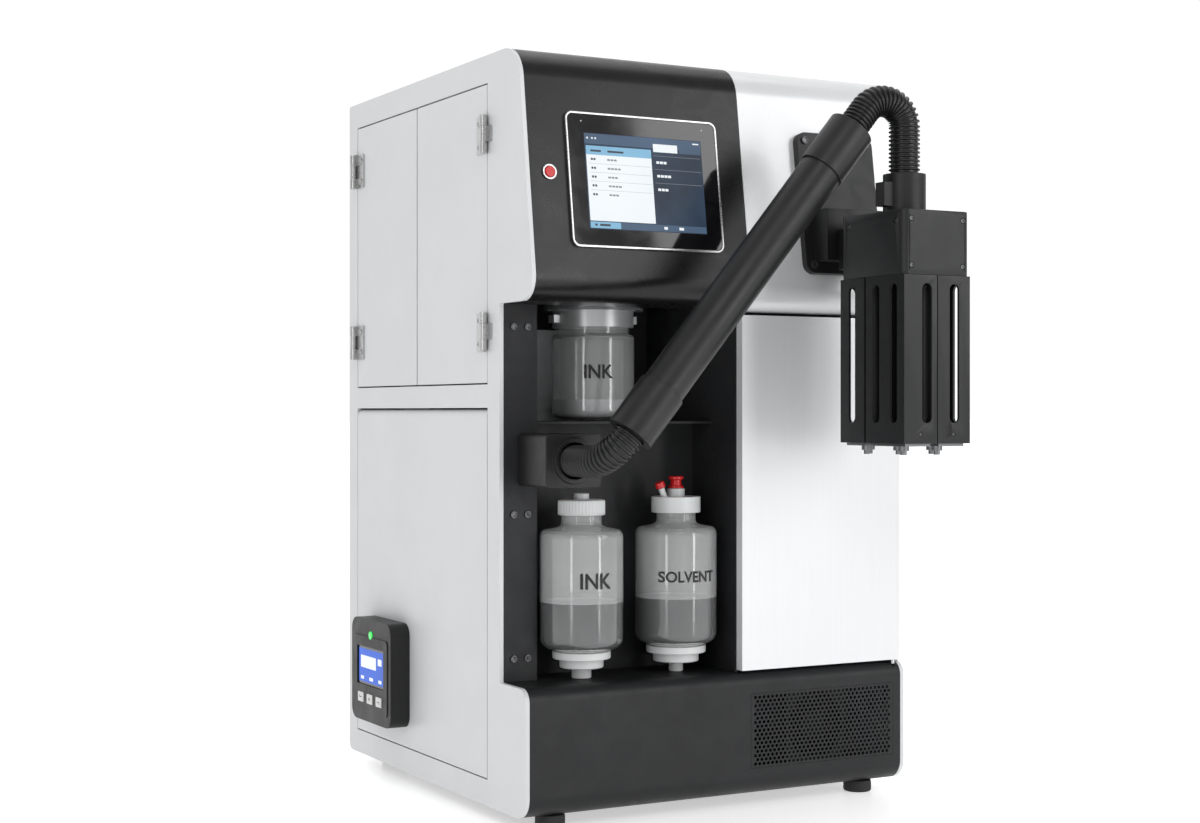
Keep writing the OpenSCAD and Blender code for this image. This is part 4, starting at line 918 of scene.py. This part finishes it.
# Finish of every frame node: piece name, material, edge rounding in mm
FINISHES = {
    "left_side_panel": ("left_panel", WHITE_PAINT, 0.7),
    "right_side_panel": ("right_panel", WHITE_PAINT, 0.9),
    "back_panel": ("back_sheet", WHITE_PAINT, 0.4),
    "top_cover": ("top_sheet", WHITE_PAINT, 0.4),
    "base_tray": ("tray", CHARCOAL, 0.5),
    "head_fascia": ("head_front_sheet", BLACK_PAINT, 0.5),
    "upper_front_cover": ("upper_white_cover", WHITE_FRONT, 0.6),
    "base_fascia": ("base_front_sheet", CHARCOAL, 0.6),
    "niche_liner": ("niche_walls", LINER_DARK, 0.3),
    "niche_shelf": ("shelf_sheet", LINER_DARK, 0.5),
    "tank_back_plate": ("tank_plate", LIGHT_PLATE, 0.5),
    "feet": ("rubber_feet", RUBBER, 2.5),
    "hinge_frame_leaves": ("hinge_frame_sides", STEEL, 0.35),
    "hinge_pins": ("hinge_rods", STEEL, 0.3),
    "screen_bezel": ("bezel_frame", SILVER, 0.7),
    "screen_glass": ("screen_cover", SCREEN_GLASS, 0.3),
    "button_collar": ("stop_collar", STEEL, 0.5),
    "outlet_box": ("outlet_housing", DARK_PLASTIC, 1.6),
    "umbilical_sleeves": ("umbilical_end_sleeves", JACKET, 2.0),
    "umbilical_tube": ("umbilical_jacket_tube", JACKET, 0.8),
    "head_collar": ("head_clamp_collar", DARK_PLASTIC, 1.2),
    "head_bracket": ("head_mount", HEAD_METAL, 1.0),
    "head_housing": ("head_cover", HEAD_METAL, 1.1),
    "head_shrouds": ("slotted_shrouds", HEAD_METAL, 0.5),
    "head_modules": ("nozzle_modules", NOZZLE_METAL, 0.4),
    "tank_lid": ("tank_flange", SMOKED, 2.2),
    "tank_collar": ("tank_clamp_ring", PALE_METAL, 0.9),
    "ink_pump": ("pump_body", PUMP_METAL, 1.5),
    "valve_block": ("valve_stack", PUMP_METAL, 1.0),
    "power_supply": ("power_box", PUMP_METAL, 0.8),
    "control_board": ("board", BOARD_GREEN, 0),
    "fan_frame": ("fan_casing", DARK_PLASTIC, 0.8),
    "power_inlet": ("inlet_socket", DARK_PLASTIC, 0.6),
    "panel_screws": ("cover_screws", DARK_STEEL, 0.6),
    "fan_rotor": ("fan_blades", DARK_PLASTIC, 0.4),
    "rear_side_door": ("rear_leaf", WHITE_PAINT, 0.9),
    "rear_door_hinge_leaves": ("rear_hinge_leaves", STEEL, 0.35),
    "fore_side_door": ("fore_leaf", WHITE_PAINT, 0.9),
    "fore_door_hinge_leaves": ("fore_hinge_leaves", STEEL, 0.35),
    "service_flap": ("lower_flap", WHITE_PAINT, 0.9),
    "remote_case": ("remote_housing", DARK_PLASTIC, 1.6),
    "remote_screen": ("remote_display", SCREEN_GLASS, 0.3),
    "remote_power_button": ("remote_power_cap", UI_GREEN, 0.4),
    "remote_key_left": ("key_cap_left", KEY_WHITE, 0.6),
    "remote_key_middle": ("key_cap_middle", KEY_WHITE, 0.6),
    "remote_key_right": ("key_cap_right", KEY_WHITE, 0.6),
    "front_door": ("white_door", WHITE_FRONT, 1.0),
    "stop_button": ("stop_cap", RED_PLASTIC, 1.0),
    "solvent_bottle_cap": ("solvent_cap", CAP_WHITE, 1.0),
    "vent_plug": ("vent_stopper", RED_PLASTIC, 1.0)}
TURNED = {"lower_hose": HOSE, "upper_hose": HOSE, "vent_grille": CHARCOAL, "tank_jar": GLASS_PAINTED_LIGHT,
          "ink_bottle": GLASS, "solvent_bottle": GLASS, "ink_bottle_cap": CAP_WHITE,
          "ink_bottle_base": CAP_WHITE, "solvent_bottle_base": CAP_WHITE,
          "fill_plug": RED_PLASTIC}
SOCKETS = {"panel_screws": (4.0, 1.5, 1.0), "rear_door_hinge_leaves": (4.0, 1.5, 0.8),
           "fore_door_hinge_leaves": (4.0, 1.5, 0.8)}


def finish_nodes():
    for node, (name, material, width) in FINISHES.items():
        piece = merged_copy(node)
        if node in SOCKETS:
            recess_round_caps(piece, *SOCKETS[node])
        soften(piece, width)
        if node.startswith("remote_key"):
            piece.location.x = 0.00012
            settle(piece)
        if node in POCKETS:
            for points, radius, depth in POCKETS[node]():
                drill(piece, points, radius, depth)
        hand_over(piece, name, node, material)
    for node, entry in FINISHES.items():
        nodes[node].data.materials.clear()
        nodes[node].data.materials.append(entry[1])
    for node, material in TURNED.items():
        nodes[node].data.materials.clear()
        nodes[node].data.materials.append(material)


def bottle_details():
    for side, node in (("ink", "ink_bottle"), ("solvent", "solvent_bottle")):
        centre, r, top, big = bottle_set(side, node, node + "_base", node + "_cap", None, None, None)
        place = (centre.x, centre.y, 0)
        low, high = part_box(node + "_base")
        z = low.z / MM
        ring = (high.x - low.x) / 2 / MM
        stub = 11 if side == "ink" else 8
        foot = turned([(0, z), (stub - 1, z), (stub, z + 1), (stub, z + 12), (ring - 9, z + 12),
                       (ring - 8, z + 13), (ring - 8, z + 22.2), (ring - 0.8, z + 22.2),
                       (ring, z + 23), (ring, z + 30), (ring - 0.8, z + 30.8), (ring - 3, z + 31),
                       (ring - 3, z + 33), (0, z + 33)], place)
        hand_over(foot, side + "_stepped_foot", node + "_base", CAP_WHITE)
        if side == "ink":
            label_on("ink_label", "INK", centre, r, 17, 36, 265, node, 7)
            z1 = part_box("ink_bottle_cap")[1].z / MM
            rings = [(22.6, top), (big - 0.8, top), (big, top + 0.8), (big, top + 2.2),
                     (big - 0.2, top + 2.4), (big - 0.2, z1 - 8.6), (big - 1, z1 - 7.4),
                     (big - 3, z1 - 6.8), (9.4, z1 - 6.4), (8.5, z1 - 6), (8.5, z1 - 0.8),
                     (7.7, z1), (0, z1)]
            inside = [(0, z1 - 10), (22.6, z1 - 10)]
            ribbed_cap("ink_ribbed_cap", "ink_bottle_cap", place, inside + rings, 44, CAP_WHITE,
                       0.5, 0.5, (top + 2.3, z1 - 8.5))
        else:
            label_on("solvent_label", "SOLVENT", centre, r, 12.5, 65, 265, node, 12)


def tank_details():
    low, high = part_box("tank_jar")
    centre = (low + high) / 2
    place = (centre.x, centre.y, 0)
    r = (high.x - low.x) / 2 / MM
    z0 = low.z / MM
    z1 = high.z / MM
    top = z1 - 22
    neck = r - 6
    wall = 1.6
    outer = ([(0, z0), (r - 10, z0)] + arc(r - 9, z0 + 9, 9, -90, 0) + arc(r - 5, top - 5, 5, 0, 80)
             + [(neck + 0.6, top + 0.2), (neck, top + 0.8), (neck, z1)])
    inner = ([(neck - wall, z1), (neck - wall, top - 1)] + arc(r - 5, top - 5 - wall, 5 - wall, 70, 0)
             + arc(r - 9, z0 + 9, 9 - wall, 0, -90) + [(r - 10, z0 + wall), (0, z0 + wall)])
    # The whole jar takes the glass with painted light.
    hand_over(turned(outer + inner, place), "tank_glass_jar", "tank_jar", GLASS_PAINTED_LIGHT)
    gap = wall + 0.15
    level = z0 + 22
    liquid = turned([(0, z0 + gap), (r - 10, z0 + gap)] + arc(r - 9, z0 + 9, 9 - gap, -90, 0)
                    + [(r - gap, level - 0.6), (r - gap - 0.4, level), (0, level)], place)
    # The jar's liquid takes the light grey of the painted light: painted brightness in the jar's foot.
    hand_over(liquid, "tank_liquid", "tank_jar", LIQUID_PAINTED_LIGHT, replace=False)
    label_on("tank_label", "INK", centre, r, 16, 34, 496, "tank_jar", 20)


def head_screw_points():
    low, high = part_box("head_housing")
    spots = []
    for x in (low.x + 0.010, high.x - 0.010):
        for z in (high.z - 0.010, low.z + 0.010):
            spots.append((Vector((x, low.y, z)), Vector((0, -1, 0))))
    for y in (low.y + 0.016, high.y - 0.016):
        spots.append((Vector((low.x, y, high.z - 0.012)), Vector((-1, 0, 0))))
        spots.append((Vector((high.x, y, high.z - 0.012)), Vector((1, 0, 0))))
    for x in (low.x + 0.012, high.x - 0.012):
        for y in (low.y + 0.012, high.y - 0.012):
            spots.append((Vector((x, y, high.z)), Vector((0, 0, 1))))
    return spots


def shroud_screw_points():
    low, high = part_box("head_shrouds")
    centre = (low.x + high.x) / 2
    quarter = (high.x - low.x) / 4
    return [(Vector((centre + s * quarter, low.y, low.z + 0.010)), Vector((0, -1, 0)))
            for s in (-1, 1)]


POCKETS = {"head_housing": lambda: [(head_screw_points(), 0.0032, 0.0016)],
           "head_shrouds": lambda: [(shroud_screw_points(), 0.0025, 0.0012)]}


def drill(piece, points, radius, depth):
    """Round pockets in a piece at (point, outward direction)."""
    bits = []
    for point, out in points:
        deselect()
        bpy.ops.mesh.primitive_cylinder_add(vertices=20, radius=radius, depth=2 * depth)
        bit = bpy.context.object
        bit.data.transform(Matrix.Translation(point)
                           @ out.to_track_quat("Z", "Y").to_matrix().to_4x4())
        bits.append(bit)
    bit = join(bits)
    apply(piece, "BOOLEAN", operation="DIFFERENCE", object=bit, solver="EXACT")
    bpy.data.objects.remove(bit)
    smooth(piece, 34)


def head_details():
    screw_heads("head_cover_screws", "head_housing",
                [(p - 0.0014 * d, d) for p, d in head_screw_points()], 2.6, 1.3, DARK_STEEL)
    screw_heads("shroud_screws", "head_shrouds",
                [(p - 0.0010 * d, d) for p, d in shroud_screw_points()], 2.0, 0.9, DARK_STEEL)


def fill_stopper():
    low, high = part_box("fill_plug")
    centre = (low + high) / 2
    z = high.z / MM
    rings = [(0, z - 22), (4, z - 22), (4.5, z - 21.5), (4.5, z - 13.6), (8.2, z - 13.6),
             (8.8, z - 13), (8.8, z - 11.6), (8.2, z - 11), (6.4, z - 10.4), (6.2, z - 4.2),
             (8.2, z - 3.4), (8.8, z - 2.8), (8.8, z - 0.9), (8.0, z), (0, z)]
    hand_over(turned(rings, (centre.x, centre.y, 0), 48), "fill_stopper", "fill_plug", RED_PLASTIC)


finish_nodes()
perforated_grille()
umbilical()
bottle_details()
fill_stopper()
tank_details()
head_details()
screen_picture()
remote_picture()
set_stage()
